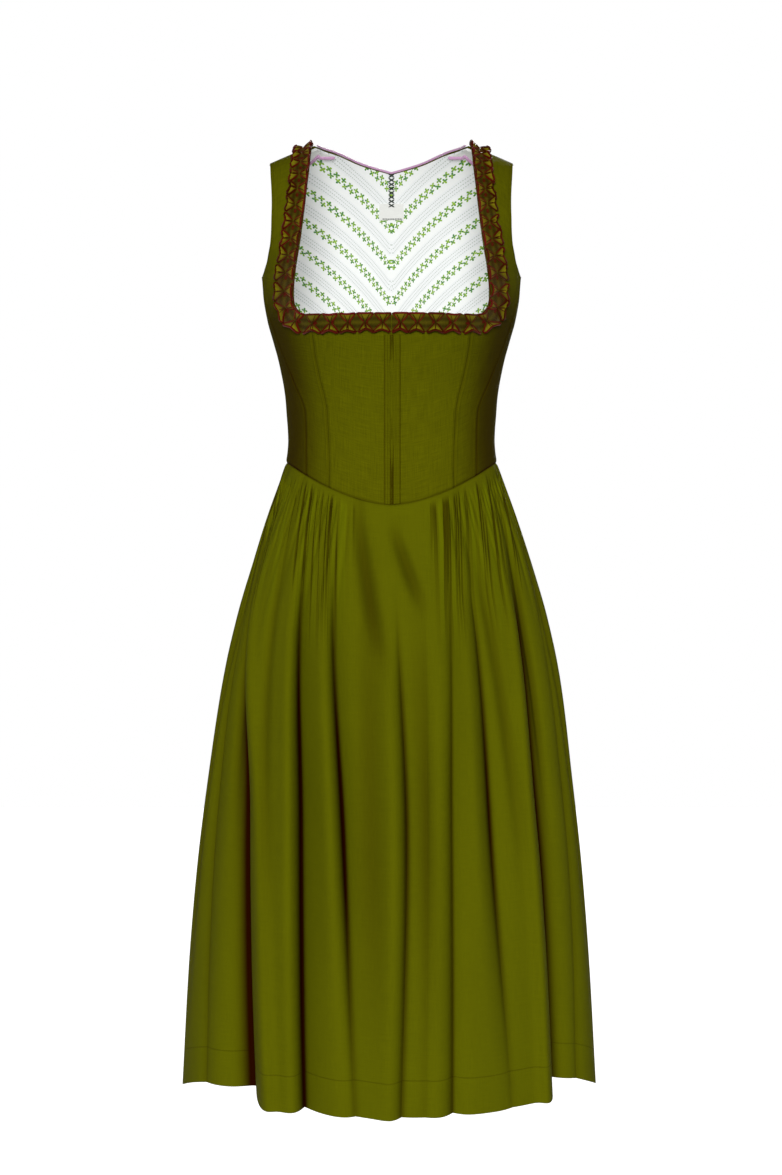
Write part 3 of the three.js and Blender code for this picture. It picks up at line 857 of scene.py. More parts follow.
@dataclass(frozen=True)
class TrimFinish:
    """Gathered ribbon: olive faces with painted shade towards the pinches and under the mouths,
    dark red folded edges and crimson rims.
    """

    name: str = "ruched_ribbon"
    face: Colour = (138, 130, 20)
    dull: Colour = (92, 84, 6)
    # deep is the colour of the painted shade.
    deep: Colour = (16, 3, 0)
    edge: Colour = (52, 9, 1)
    rim: Colour = (128, 8, 22)
    ribs: float = 1700.0

    def material(self) -> bpy.types.Material:
        """Make the material."""
        recipe = Recipe(self.name)
        across, along = recipe.cloth()
        ribs = (along * (FULL_TURN * self.ribs)).sine()
        grain = recipe.noise(across, along, (700.0, 700.0), 2.0, 5.0)
        colour = recipe.mix(grain, tone(*self.dull), tone(*self.face))
        # Painted shade where the painted_shade mark is high.
        colour = recipe.mix(recipe.mark("painted_shade").clear(), colour, tone(*self.deep))
        rim = recipe.mark("rim")
        colour = recipe.mix(rim.fade(0.35, 0.75), colour, tone(*self.edge))
        crimson = rim.fade(0.6, 0.95) * recipe.mark("crimson")
        colour = recipe.mix(crimson, colour, tone(*self.rim))
        recipe.bump(ribs * 0.4 + grain, 0.00018, 0.8)
        return recipe.shade(Base_Color=colour, Roughness=(grain - 0.5) * 0.2 + 0.5,
                            Sheen_Weight=0.15, Sheen_Tint=tone(170, 60, 40),
                            Specular_IOR_Level=0.2, Specular_Tint=tone(220, 190, 90))


@dataclass(frozen=True)
class PrintFinish:
    """White cotton printed with slanting bands of small sprigs and fine dotted lines, with a
    painted glow that makes it look evenly lit.
    """

    name: str = "sprig_print"
    slope: float = 40.0
    band: float = 0.0345
    sprig_step: float = 0.0086
    sprig_size: float = 0.0034
    sprig_rows: tuple[tuple[float, float], ...] = ((0.0044, 0.0), (0.0094, 0.5))
    dot_lines: tuple[float, ...] = (0.0186, 0.0225, 0.0264)
    dot_step: float = 0.0024
    stripe: float = 0.0225
    threads: float = 1500.0
    painted_glow: float = 0.42

    def sprigs(self, along: Value, level: Value, shift: float) -> Value:
        """Draw one staggered row of four-petalled sprigs.

        Args:
            along: distance along the band, in metres.
            level: distance across the band, in metres.
            shift: half-step by which this row is moved along.

        Returns:
            1 on a sprig and 0 off it.
        """
        place = along / self.sprig_step + shift
        inside = (place % 1.0 - 0.5) * self.sprig_step
        radius_sq = inside * inside + level * level
        radius = radius_sq.maths("SQRT", radius_sq)
        turn = inside.maths("ARCTAN2", level, inside)
        petals = abs((turn * 2.0 + place.floor() * 1.3).cosine())
        return radius < (petals * 0.8 + 0.2) * self.sprig_size

    def material(self) -> bpy.types.Material:
        """Make the material."""
        recipe = Recipe(self.name)
        across, up = recipe.cloth()
        lean = math.radians(self.slope)
        aside = abs(across)
        along = aside * math.cos(lean) + up * math.sin(lean)
        level = (up * math.cos(lean) - aside * math.sin(lean)) % self.band
        grain = recipe.noise(across, up, (800.0, 800.0), 2.0, 2.0)
        colour = recipe.mix(grain, tone(206, 208, 207), tone(214, 216, 214))
        grey = abs(level - self.stripe).fade(0.0075, 0.0060)
        colour = recipe.mix(grey * 0.22, colour, tone(190, 194, 200))
        for line in self.dot_lines:
            near = abs(level - line).fade(0.00075, 0.00035)
            dots = (((along + line * 7.0) / self.dot_step) % 1.0).fade(0.35, 0.55) * near
            colour = recipe.mix(dots * 0.5, colour, tone(104, 124, 100))
        hue = recipe.noise(across, up, (330.0, 330.0), 1.0, 9.0)
        green = recipe.mix(hue.fade(0.42, 0.58), tone(44, 106, 38), tone(122, 158, 36))
        for level_at, shift in self.sprig_rows:
            sprig = self.sprigs(along, level - level_at, shift)
            colour = recipe.mix(sprig, colour, green)
        recipe.bump(recipe.weave(across, up, self.threads) * 0.3 + grain, 0.0002, 0.6)
        # Painted light: the print glows in its own colour so that it looks evenly lit.
        return recipe.shade(Base_Color=colour, Roughness=0.88, Emission_Color=colour,
                            Emission_Strength=self.painted_glow)


@dataclass(frozen=True)
class PlainFinish:
    """A small plain textile, satin or thread, which can have a painted glow."""

    name: str
    colour: Colour
    roughness: float
    ribs: float
    sheen: float = 0.2
    shade: float = 0.82
    painted_glow: float = 0.0

    def material(self) -> bpy.types.Material:
        """Make the material."""
        recipe = Recipe(self.name)
        across, along = recipe.cloth()
        grain = recipe.noise(across, along, (500.0, 500.0), 2.0, 4.0)
        darker = tuple(int(part * self.shade) for part in self.colour)
        colour = recipe.mix(grain, tone(*darker), tone(*self.colour))
        twist = ((across + along * 0.6) * (FULL_TURN * self.ribs)).sine()
        recipe.bump(twist * 0.5 + grain * 0.4, 0.00018, 0.7)
        # Painted light: a glow in the textile's own colour.
        return recipe.shade(Base_Color=colour, Roughness=(grain - 0.5) * 0.15 + self.roughness,
                            Sheen_Weight=self.sheen, Emission_Color=colour,
                            Emission_Strength=self.painted_glow)


class Finish(Enum):
    """The dress's finishes; each value makes its material."""

    # The second colour of each cloth is its painted shade colour.
    BODICE = ClothFinish("bodice_slub_cloth", (90, 91, 4), (38, 13, 0), 0.85, 1500.0, 0.84, 0.02,
                         stitches=(1.7, 3.8))
    SKIRT = ClothFinish("skirt_cotton", (95, 98, 5), (36, 7, 0), 0.3, 1700.0, 0.8, 0.02,
                        hem_stitch=0.039)
    TRIM = TrimFinish()
    PRINT = PrintFinish()
    # The last number of the piping and the label is their painted glow.
    PIPING = PlainFinish("mauve_satin", (206, 156, 198), 0.38, 1400.0, 0.3, 0.85, 0.12)
    LABEL = PlainFinish("label_weave", (220, 221, 217), 0.7, 2200.0, 0.0, 0.97, 0.28)
    THREAD = PlainFinish("dark_thread", (14, 36, 20), 0.6, 1200.0, 0.0)


class Wardrobe:
    """Makes each finish once and dresses pieces in it."""

    def __init__(self) -> None:
        """Start with no materials made."""
        self.made: dict[Finish, bpy.types.Material] = {}

    def dress(self, piece: bpy.types.Object, finish: Finish, slot: str,
              *nodes: str) -> bpy.types.Object:
        """Give a piece its finish and its body, and hide the solids it stands for.

        Args:
            piece: the object.
            finish: its finish.
            slot: the record's material slot; not used.
            nodes: the CAD nodes that it replaces.

        Returns:
            The piece.
        """
        if finish not in self.made:
            self.made[finish] = finish.value.material()
        piece.data.materials.append(self.made[finish])
        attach(piece, "root")
        if nodes:
            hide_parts(*nodes)
        LOG.info("%s: %d faces, %s", piece.name, len(piece.data.polygons), finish.value.name)
        return piece

    def sew(self, name: str, grid: Grid, thick: float, finish: Finish, slot: str,
            *nodes: str) -> bpy.types.Object:
        """Make a closed sheet from a grid and dress it.

        Args:
            name: the piece's name.
            grid: its outer face.
            thick: its thickness in millimetres.
            finish: its finish.
            slot: the record's material slot.
            nodes: the CAD nodes that it replaces.

        Returns:
            The sheet.
        """
        pile = MeshPile()
        pile.wall(grid, thick)
        return self.dress(pile.make(name), finish, slot, *nodes)


# ---- Bodice ----------------------------------------------------------------------------------

@dataclass
class Bodice:
    """The fitted upper part: eight panels, two closing strips and their seams."""

    form: DressForm
    wardrobe: Wardrobe
    thick: float = 1.6
    seam_drop: float = 0.9
    overlap: float = 0.18
    strip_top: float = 850.0
    shade_angle: float = 67.0
    shade_width: float = 24.0

    def stages(self, waist_rows: int, corner_rows: int, strap_rows: int) -> Array:
        """Give the rows of a panel: 0 to 1 to the neckline, to 2 underarm, to 3 the top."""
        low = np.linspace(0, 1, waist_rows, endpoint=False)
        corner = self.form.neck_corner / (self.form.underarm_up - self.form.neck_up)
        turn = np.linspace(0, math.pi / 2, corner_rows)
        bend = 1 + corner * (1 - np.cos(turn))
        rest = np.linspace(1 + corner, 2, corner_rows)[1:]
        high = np.linspace(2, 3, strap_rows)[1:]
        parts = [low, bend, rest] + ([high] if strap_rows > 1 else [])
        return np.concatenate(parts if corner_rows > 1 else [np.linspace(0, 1, waist_rows)])

    def climb(self, stage: Array, waist: Array, top: Array) -> Array:
        """Turn a stage into a climb."""
        form = self.form
        low = blend(waist, form.neck_up, stage)
        middle = blend(form.neck_up, form.underarm_up, stage - 1)
        high = blend(form.underarm_up, top, stage - 2)
        return np.where(stage <= 1, low, np.where(stage <= 2, middle, high))

    def neck_across(self, climb: Array) -> Array:
        """Give the neckline edge's half width: a rounded corner, then the strap."""
        form = self.form
        above = np.maximum(climb - form.neck_up, 0)
        drop = np.clip(form.neck_corner - above, 0, form.neck_corner)
        corner = form.neck_half - form.neck_corner + np.sqrt(form.neck_corner ** 2 - drop ** 2)
        return np.where(above < form.neck_corner, corner, STRAP.read("climb", climb, "inner"))

    def inner_seam(self, climb: Array) -> Array:
        """Give the angle of the inner front seam, then of the strap's inner edge."""
        low = FRONT_SEAMS.read("up", climb, "inner")
        across = np.where(climb <= self.form.neck_up, low, self.neck_across(climb))
        return self.form.angle_at(across, climb, True)

    def outer_seam(self, climb: Array) -> Array:
        """Give the angle of the outer front seam, then of the armhole's front edge."""
        low = FRONT_SEAMS.read("up", climb, "outer")
        high = STRAP.read("climb", climb, "outer")
        across = np.where(climb <= self.form.underarm_up, low, high)
        return self.form.angle_at(across, climb, True)

    def back_seam(self, climb: Array) -> Array:
        """Give the angle of the seam to the back, then of the armhole's back edge."""
        high = self.form.angle_at(STRAP.read("climb", climb, "outer"), climb, False)
        low = BACK_SEAM.read("up", climb, "angle")
        return np.where(climb <= self.form.underarm_up, low, high)

    def edge_angle(self, edge: Edge, stage: Array, top: Edge) -> Array:
        """Settle an edge's angle, which hangs on a climb that hangs on the angle."""
        angle = edge(np.full_like(stage, self.form.waist_side_up))
        for _ in range(6):
            reach = top(self.form.across(angle, np.full_like(stage, self.form.neck_up)))
            angle = edge(self.climb(stage, self.form.waist_up(angle), reach))
        return angle

    def panel(self, near: Edge, far: Edge, top: Edge, stages: Array, columns: int) -> Grid:
        """Lay a left-hand panel between two edges.

        Args:
            near: angle of its first edge for a climb.
            far: angle of its second edge.
            top: climb of its upper edge for a half width.
            stages: its rows.
            columns: how many columns it has.

        Returns:
            The panel's outer face, with its distance from the nearer seam in millimetres.
        """
        first = self.edge_angle(near, stages, top)[:, None] - self.overlap
        last = self.edge_angle(far, stages, top)[:, None] + self.overlap
        turn = np.linspace(0, math.pi, columns)
        share = blend(np.linspace(0, 1, columns), (1 - np.cos(turn)) / 2, 0.45)[None, :]
        angle = blend(first, last, share)
        stage = np.broadcast_to(stages[:, None], angle.shape)
        reach = top(self.form.across(angle, np.full_like(angle, self.form.shoulder_up)))
        climb = self.climb(stage, self.form.waist_up(angle), reach)
        grid = Grid(self.form.torso(angle, climb), turn=angle)
        run = grid.run_across()
        grid.marks["edge"] = np.minimum(run, run[:, -1:] - run)
        grid.uv = grid.own_uv()
        return grid

    def relief(self, grid: Grid, seams: tuple[bool, bool]) -> Array:
        """Give how the sewn seams and the pull of the cloth shape a panel's face.

        Args:
            grid: the panel.
            seams: whether its first and second edges are sewn down to a neighbour.

        Returns:
            Millimetres that each point moves out.
        """
        run = grid.run_across()
        total = run[:, -1:]
        out = np.zeros_like(run)
        for sewn, away in zip(seams, (run, total - run)):
            if sewn:
                out -= self.seam_drop * bell(away / 1.3, 1.6)
                out += 0.55 * bell((away - 3.4) / 1.5)
        height = grid.points[..., 2]
        pull = (np.sin(height * 0.11 + np.sin(run * 0.09) * 2.2)
                * np.sin(run * 0.13 + height * 0.021))
        rise = grid.run_up()
        return out + 0.28 * pull - 1.0 * bell(rise / 1.6) + 0.3 * bell((rise - 4.0) / 1.6)

    def side_shade(self, grid: Grid) -> Array:
        """Give the share of painted shade on the side, where it turns away from the light, below
        the underarm.
        """
        aside = bell((grid.turn - self.shade_angle) / self.shade_width, 2.6)
        return aside * ease(-grid.points[..., 2], 150.0, 215.0)

    def build(self) -> None:
        """Make and dress the panels and strips, on both sides."""
        form = self.form
        middle = lambda climb: np.zeros_like(climb)
        spine = lambda climb: np.full_like(climb, 180.0)
        low = self.stages(80, 1, 1)
        side = self.stages(64, 12, 1)
        full = self.stages(64, 12, 56)
        panels = {
            "bodice_front": (middle, self.inner_seam, form.front_top, low, 36, (False, True)),
            "bodice_strap_front": (self.inner_seam, self.outer_seam, form.front_top, full, 30,
                                   (True, True)),
            "bodice_side": (self.outer_seam, self.back_seam, form.front_top, side, 34,
                            (True, True)),
            "bodice_back": (self.back_seam, spine, form.back_top, full, 48, (True, True)),
        }
        for name, (near, far, top, rows, columns, seams) in panels.items():
            grid = self.panel(near, far, top, rows, columns)
            sewn = self.relief(grid, seams)
            if name != "bodice_front":
                fade = ease(form.underarm_up - form.shoulder_up - grid.points[..., 2], -26.0, 0.0)
                sewn = sewn * fade if name != "bodice_back" else sewn * blend(0.5, 1, fade)
            shaped = grid.pushed(sewn)
            # Painted shade in the seam dips, along the lower edge and on the sides turned from
            # the light.
            shaped.marks["painted_shade"] = (0.3 * bell(grid.marks["edge"] / 1.1) * (sewn < -0.05)
                                      + 0.4 * bell(grid.run_up() / 0.8)
                                      + 0.74 * self.side_shade(grid))
            for word, face in shaped.both():
                piece = self.wardrobe.sew(f"cloth_{name}_{word}", face, self.thick,
                                          Finish.BODICE, "bodice_cloth", f"{name}_{word}")
        self.strip("left", 0.9, 10.0, 1.3)
        self.strip("right", 0.0, 8.3, 0.65)
        self.underlap()

    def underlap(self) -> None:
        """Make the guard that lies behind the closing."""
        form = self.form
        across = np.linspace(-9, 9, 13)[None, :]
        share = np.linspace(0, 1, 60)[:, None]
        climb = blend(form.waist_front_up + 4, form.neck_up - 3, share) + 0 * across
        place = form.place(across + 0 * climb, climb, True)
        grid = Grid(place).pushed(np.full(climb.shape, -2.4))
        # Painted shade over the whole guard, which lies in the gap behind the closing.
        grid.marks["painted_shade"] = np.full(climb.shape, 1.0)
        grid.marks["edge"] = np.full(climb.shape, 9.0)
        piece = self.wardrobe.sew("cloth_closing_guard", grid, 0.8, Finish.BODICE,
                                  "bodice_cloth")

    def strip(self, word: str, near: float, far: float, raised: float) -> None:
        """Make a closing strip down the middle front.

        Args:
            word: left or right.
            near: its edge next to the closing, in millimetres from the middle.
            far: its other edge.
            raised: its thickness.
        """
        form = self.form
        across = np.linspace(near, far, 14)[None, :]
        share = np.linspace(0, 1, 90)[:, None]
        gape = 2.3 * bell((share - 0.6) / 0.3, 4.0)
        seam = form.angle_at(across, np.full_like(across, form.waist_front_up), True)
        climb = blend(form.waist_up(seam) + 0.6, self.strip_top, share)
        across = across + gape * (far - across) / (far - near)
        grid = Grid(form.place(across, climb, True))
        rounding = bell((across - near) / 0.8) + bell((far - across) / 0.8)
        round_off = raised * (1 - 0.4 * rounding)
        uneven = 0.12 * np.sin(climb * 0.19) + 0.1 * np.sin(climb * 0.071 + 1.0)
        run = np.abs(across - near)
        grid.marks["edge"] = np.minimum(run, np.abs(far - across))
        # Painted shade along both edges of the strip.
        grid.marks["painted_shade"] = 1.0 * bell(run / 1.3) + 0.7 * bell((far - across) / 0.9)
        face = grid.pushed(0.9 + round_off + uneven)
        piece = self.wardrobe.sew(f"cloth_closing_strip_{word}", dict(face.both())[word], raised,
                                  Finish.BODICE, "bodice_cloth", f"closing_strip_{word}")


# ---- Inside of the back ----------------------------------------------------------------------

@dataclass
class BackInside:
    """The printed lining, its shoulder facings, the neck piping, the label and cross-stitches."""

    form: DressForm
    bodice: Bodice
    wardrobe: Wardrobe
    clear: float = 2.5
    thick: float = 1.0
    print_slope: float = 40.0
    print_up: float = 1032.0
    facing_inner: float = 68.0
    facing_outer: float = 102.0
    facing_start: float = 150.0
    label_half: float = 15.0
    label_low: float = 1008.0
    label_high: float = 1027.0
    cross_count: int = 8
    cross_top: float = 1058.0
    cross_step: float = 4.7
    cross_height: float = 3.9
    cross_half: float = 3.6

    def lining(self) -> None:
        """Make the two halves of the lining, joined at the middle back."""
        stages = np.unique(np.clip(self.bodice.stages(44, 8, 40), 0.02, 2.997))
        spine = lambda climb: np.full_like(climb, 180.06)
        grid = self.bodice.panel(lambda climb: self.bodice.back_seam(climb) + 1.2, spine,
                                 self.form.back_top, stages, 40)
        run = grid.run_across()
        up = grid.points[..., 2] + self.form.shoulder_up
        fold = np.sin(up * 0.05 + run * 0.045) * np.sin(run * 0.08 + 1.0)
        face = grid.pushed(-self.clear - 0.35 * (1 + fold))
        face.marks["painted_shade"] = np.zeros_like(run)
        aside = np.abs(face.points[..., 0])
        slant = (1.1 * aside - 0.0022 * aside ** 2) * (1.08 - 0.0027 * (up - 1003.0))
        face.uv = np.stack([slant / math.tan(math.radians(self.print_slope)),
                            up - self.print_up], axis=-1) * MM
        for word, side in face.both():
            piece = self.wardrobe.sew(f"lining_print_{word}", side, self.thick, Finish.PRINT,
                                      "lining_print", f"lining_back_{word}")

    def patch(self, inner: float, outer: float, low: Edge, high: Edge, layer: float,
              columns: int, rows: int) -> Grid:
        """Lay a small piece inside the back.

        Args:
            inner: its first half width.
            outer: its second, further to the left.
            low: climb of its lower edge for a half width.
            high: climb of its upper edge.
            layer: millimetres inside the form.
            columns: how many columns it has.
            rows: how many rows.

        Returns:
            The patch's face towards the form.
        """
        across = np.linspace(outer, inner, columns)[None, :] + np.zeros((rows, 1))
        share = np.linspace(0, 1, rows)[:, None]
        climb = blend(low(across), high(across), share)
        return Grid(self.form.place(across, climb, False)).pushed(np.full(across.shape, -layer))

    def facings(self) -> None:
        """Make the facing at the top of each shoulder, with its mauve lower edge."""
        top = self.form.back_top
        inner = self.facing_inner
        grid = self.patch(
            inner, self.facing_outer,
            lambda x: top(x) - 3.5 - 0.9 * (x - inner) - 12 * ease(x, inner + 12, inner + 24),
            lambda x: top(x) - 2, self.clear + self.thick + 1.0, 24, 12)
        grid.uv = grid.own_uv(self.facing_start)
        for word, face in grid.both():
            piece = self.wardrobe.sew(f"shoulder_facing_cloth_{word}", face, 0.8, Finish.LABEL,
                                      "lining_print", f"shoulder_facing_{word}")
            edge = MeshPile()
            edge.tube(face.points[0] - face.normals()[0] * 1.2, 2.1)
            trim = edge.make(f"shoulder_facing_edge_{word}")
            self.wardrobe.dress(trim, Finish.PIPING, "piping")

    def inward(self, spot: Array) -> Array:
        """Give the level directions from points of the back to the middle of the dress."""
        return unit(spot * np.array([-1.0, -1.0, 0.0]))

    def piping(self) -> None:
        """Make the satin piping along the back neckline."""
        across = np.linspace(-88, 88, 120)
        climb = self.form.back_top(across)
        angle = self.form.angle_at(across, climb, False) * np.where(across < 0, -1, 1)
        spot = self.form.torso(angle, climb)
        below = self.form.torso(angle, climb - 1.0)
        centre = spot + unit(spot - below) * 0.5 + self.inward(spot) * 2.4
        pile = MeshPile()
        pile.tube(centre, 1.25, 10)
        piece = pile.make("neck_piping")
        self.wardrobe.dress(piece, Finish.PIPING, "piping", "back_neck_piping")

    def label(self) -> None:
        """Make the bare label and the stitches that hold it."""
        rise = self.form.back_climb
        half, low, high = self.label_half, self.label_low, self.label_high
        layer = self.clear + self.thick + 1.2
        grid = self.patch(-half, half, lambda x: rise(x, low), lambda x: rise(x, high), layer,
                          30, 20)
        piece = self.wardrobe.sew("neck_label_weave", grid, 0.5, Finish.LABEL, "label",
                                  "neck_label")
        threads = MeshPile()
        line = self.patch(2 - half, half - 2, lambda x: rise(x, low + 1.5),
                          lambda x: rise(x, low + 2.5), layer + 1.0, 27, 2).points[0]
        for start in range(0, 24, 3):
            threads.tube(line[start:start + 4], 0.55, 6)
        stitches = threads.make("label_stitches")
        self.wardrobe.dress(stitches, Finish.THREAD, "label")

    def crosses(self) -> None:
        """Sew the column of crossed threads down the middle back."""
        form = self.form
        threads = MeshPile()
        layer = self.clear + self.thick + 2.3
        for step in range(self.cross_count):
            up = self.cross_top - step * self.cross_step
            ends = form.back_climb(np.zeros(1), np.array([up, up - self.cross_height]))
            along = np.linspace(ends[0], ends[1], 6)
            for lean in (-1, 1):
                across = np.linspace(-lean, lean, 6) * self.cross_half
                spot = form.place(across, along, False)
                threads.tube(spot + self.inward(spot) * (layer + 0.5 * lean), 0.8, 6)
        piece = threads.make("back_cross_stitches")
        self.wardrobe.dress(piece, Finish.THREAD, "lining_print")

    def build(self) -> None:
        """Make all that shows inside the back."""
        self.lining()
        self.facings()
        self.piping()
        self.label()
        self.crosses()


# ---- Neckline ribbon -------------------------------------------------------------------------

@dataclass(frozen=True)
class Mouth:
    """One open mouth of the pinched ribbon, from its pinch out to its rim."""

    place: float
    side: int
    half: float
    reach: float
    rise: float
    dip: float
    skew: float
    crimson: float
    edge: float


@dataclass(frozen=True)
class MouthRow:
    """The sizes of a row of mouths; pairs are the least and most that chance gives."""

    side: int
    half: float
    half_share: tuple[float, float]
    reach: float
    rise: float
    rise_share: tuple[float, float]
    dip: tuple[float, float]
    skew: tuple[float, float]
    crimson: tuple[float, float]
    edge: tuple[float, float]

    def mouth(self, place: float, chance: np.random.Generator) -> Mouth:
        """Draw the sizes of one mouth at a place along the ribbon."""
        return Mouth(place, self.side, self.half * chance.uniform(*self.half_share), self.reach,
                     self.rise * chance.uniform(*self.rise_share), chance.uniform(*self.dip),
                     chance.uniform(*self.skew), chance.uniform(*self.crimson),
                     chance.uniform(*self.edge))


@dataclass
class NeckTrim:
    """The ruched ribbon round the neckline: a base band and two rows of pinched mouths."""

    form: DressForm
    wardrobe: Wardrobe
    repeat: float = 18.6
    lift: float = 1.1
    middle: float = 8.4
    top_climb: float = 1121.5
    half_width: float = 9.4
    top_slant: float = 0.66
    rows: tuple[MouthRow, ...] = (
        MouthRow(1, 8.3, (0.9, 1.06), 10.4, 4.6, (0.8, 1.15), (0.0, 0.12), (-1.0, 1.0),
                 (0.1, 0.6), (1.0, 1.3)),
        MouthRow(-1, 8.8, (0.9, 1.04), 10.8, 4.4, (0.8, 1.2), (0.3, 0.55), (-1.4, 1.4),
                 (0.0, 0.3), (1.1, 1.5)),
    )

    @cached_property
    def path(self) -> Array:
        """Give the ribbon's middle line, half width across and climb up."""
        form = self.form
        corner = form.neck_half - form.neck_corner
        level = np.stack([np.linspace(0.4, corner, 180),
                          np.full(180, form.neck_up - self.middle)], axis=-1)
        turn = np.linspace(-math.pi / 2, 0, 60)[1:]
        radius = form.neck_corner + self.middle
        bend = np.stack([corner + radius * np.cos(turn),
                         form.neck_up + form.neck_corner + radius * np.sin(turn)], axis=-1)
        climb = np.linspace(form.neck_up + form.neck_corner, self.top_climb, 480)[1:]
        strap = np.stack([STRAP.read("climb", climb, "inner") + self.middle, climb], axis=-1)
        return np.concatenate([level, bend, strap])

    @cached_property
    def run(self) -> Array:
        """Give the distance along the middle line at each of its points."""
        steps = np.linalg.norm(np.diff(self.path, axis=0), axis=1)
        return np.concatenate([[0], np.cumsum(steps)])

    def lay(self, along: Array, across: Array, height: Array) -> Array:
        """Place points of the flat ribbon on the neckline.

        Args:
            along: millimetres from the middle front along the ribbon's middle line.
            across: millimetres from the neckline edge outwards.
            height: millimetres off the bodice.

        Returns:
            Points in the dress's frame.
        """
        path, run = self.path, self.run
        out = across - self.middle
        along = along - self.top_slant * out * np.clip((along - run[-1]) / 32 + 1, 0, 1)
        direction = unit(np.gradient(path, axis=0))
        spot_x = np.interp(along, run, path[:, 0])
        spot_y = np.interp(along, run, path[:, 1])
        spot_y = spot_y + np.maximum(along - run[-1], 0)
        out_x = np.interp(along, run, direction[:, 1])
        out_y = np.interp(along, run, -direction[:, 0])
        x = np.maximum(spot_x + out_x * out, 0.15)
        top = self.form.front_top(x) - 1.0
        climb = top - 3.0 * np.logaddexp(0.0, (top - spot_y - out_y * out) / 3.0)
        return self.surface(x, climb, height * (1 - 0.6 * ease(along, run[-1] - 12, run[-1])))

    def surface(self, across: Array, climb: Array, height: Array) -> Array:
        """Give points off the bodice's front at a half width and climb."""
        place = self.form.place
        step = 0.6
        spot = place(across, climb, True)
        sideways = place(across + step, climb, True) - place(across - step, climb, True)
        upward = spot - place(across, climb - 2 * step, True)
        return spot + unit(np.cross(sideways, upward)) * height[..., None]

    def band(self, pile: MeshPile) -> None:
        """Add the base band, drawn in at each pinch, to a pile."""
        length = self.run[-1]
        along = np.linspace(0, length, int(length / 1.3))[None, :]
        share = np.linspace(-1, 1, 15)[:, None]
        wave = np.cos(FULL_TURN * along / self.repeat)
        half = self.half_width + 0.7 * wave + 0.4 * np.sin(along * 1.9)
        across = self.middle - share * half
        height = self.lift + 0.9 * (1 - share ** 2) * (1 + 0.6 * wave) + 0 * along
        pinch = bell(share / 0.25) * bell((wave + 1) / 0.5)
        height = height - 0.5 * pinch
        points = self.lay(along + 0 * share, across, height)
        rim = np.maximum(ease(np.abs(share), 0.8, 0.98) + 0 * along, pinch)
        # Painted shade over the whole band, darkest partway across it, under the mouths.
        painted_shade = 0.3 * bell((np.abs(share) - 0.4) / 0.3) + 0.6 + 0 * along
        grid = Grid(points, {"rim": rim, "painted_shade": painted_shade, "crimson": 0.3 + 0 * rim})
        pile.wall(grid, 0.5)

    def mouth_points(self, mouth: Mouth, turn_share: Array, out_share: Array,
                     lift: float) -> Array:
        """Place points of a mouth by their shares round and out of it.

        Args:
            mouth: its sizes.
            turn_share: -1 at its first end to 1 at its last.
            out_share: 0 at the pinch to 1 at the rim.
            lift: millimetres off its cloth.

        Returns:
            Points in the dress's frame.
        """
        turn = turn_share * math.radians(100)
        half = blend(0.8, mouth.half, out_share ** 0.9)
        along = mouth.place + half * np.sin(turn) + mouth.skew * out_share
        arch = (np.cos(turn) + 0.17) / 1.17
        height = self.lift + 0.7 + blend(0.6, mouth.rise, out_share) * arch + lift
        reach = mouth.reach * (1 - mouth.dip * bell(turn_share / 0.4) - 0.12 * turn_share ** 2)
        across = self.middle - mouth.side * (0.2 + reach * out_share)
        return self.lay(np.clip(along, 0.3, self.run[-1] - 0.3), across,
                        np.maximum(height, self.lift))

    def mouth(self, pile: MeshPile, threads: MeshPile, mouth: Mouth) -> None:
        """Add one mouth: cloth fanning from the pinch to an arched rim, with rolled red edges and
        painted shade near the pinch.

        Args:
            pile: where it goes.
            threads: where the gathering threads across it go.
            mouth: its sizes.
        """
        turn_share = np.linspace(-1, 1, 11)[None, :]
        out_share = np.linspace(0, 1, 6)[:, None]
        points = self.mouth_points(mouth, turn_share + 0 * out_share,
                                   out_share + 0 * turn_share, 0.0)
        # Painted shade near the pinch and towards both ends of the mouth.
        painted_shade = 0.85 * (1 - ease(out_share, 0.1, 0.75)) + 0.6 * np.abs(turn_share) ** 2.5
        marks = {"rim": 0.25 * ease(out_share, 0.6, 1.0) + 0 * turn_share, "painted_shade": painted_shade,
                 "crimson": 0 * painted_shade}
        if mouth.side < 0:
            points = points[::-1]
            marks = {name: values[::-1] for name, values in marks.items()}
        pile.wall(Grid(points, marks), 0.4)
        round_path = np.concatenate([np.full(4, -1.0), np.linspace(-1, 1, 9), np.full(4, 1.0)])
        out_path = np.concatenate([np.linspace(0.05, 0.85, 4), np.full(9, 1.0),
                                   np.linspace(0.85, 0.05, 4)])
        pile.tube(self.mouth_points(mouth, round_path, out_path, 0.25), mouth.edge, 5,
                  {"rim": 1.0, "crimson": mouth.crimson, "painted_shade": 0.0})
        for turn in (-0.42 + mouth.dip, 0.38 - mouth.dip):
            crease = np.linspace(0.1, 0.9, 5)
            path = self.mouth_points(mouth, turn * (0.6 + 0.4 * crease), crease, 0.1)
            threads.tube(path, 0.5 * mouth.edge, 5, {"rim": 1.0, "crimson": 0.0, "painted_shade": 0.0})

    def build(self) -> None:
        """Make the ribbon on both sides of the closing."""
        count = int(self.run[-1] / self.repeat)
        spacing = self.run[-1] / count
        chance = np.random.default_rng(21)
        for word in ("left", "right"):
            pile = MeshPile()
            threads = MeshPile()
            self.band(pile)
            for i in range(count):
                middle = (i + 0.5) * spacing + chance.uniform(-0.7, 0.7)
                for row in self.rows:
                    self.mouth(pile, threads, row.mouth(middle, chance))
            if word == "right":
                pile.turn_over()
                threads.turn_over()
            piece = pile.make(f"ruched_ribbon_{word}")
            self.wardrobe.dress(piece, Finish.TRIM, "trim_ribbon", f"neck_trim_{word}")
            sewn = threads.make(f"gathering_threads_{word}")
            self.wardrobe.dress(sewn, Finish.TRIM, "trim_ribbon")


# ---- Skirt -----------------------------------------------------------------------------------

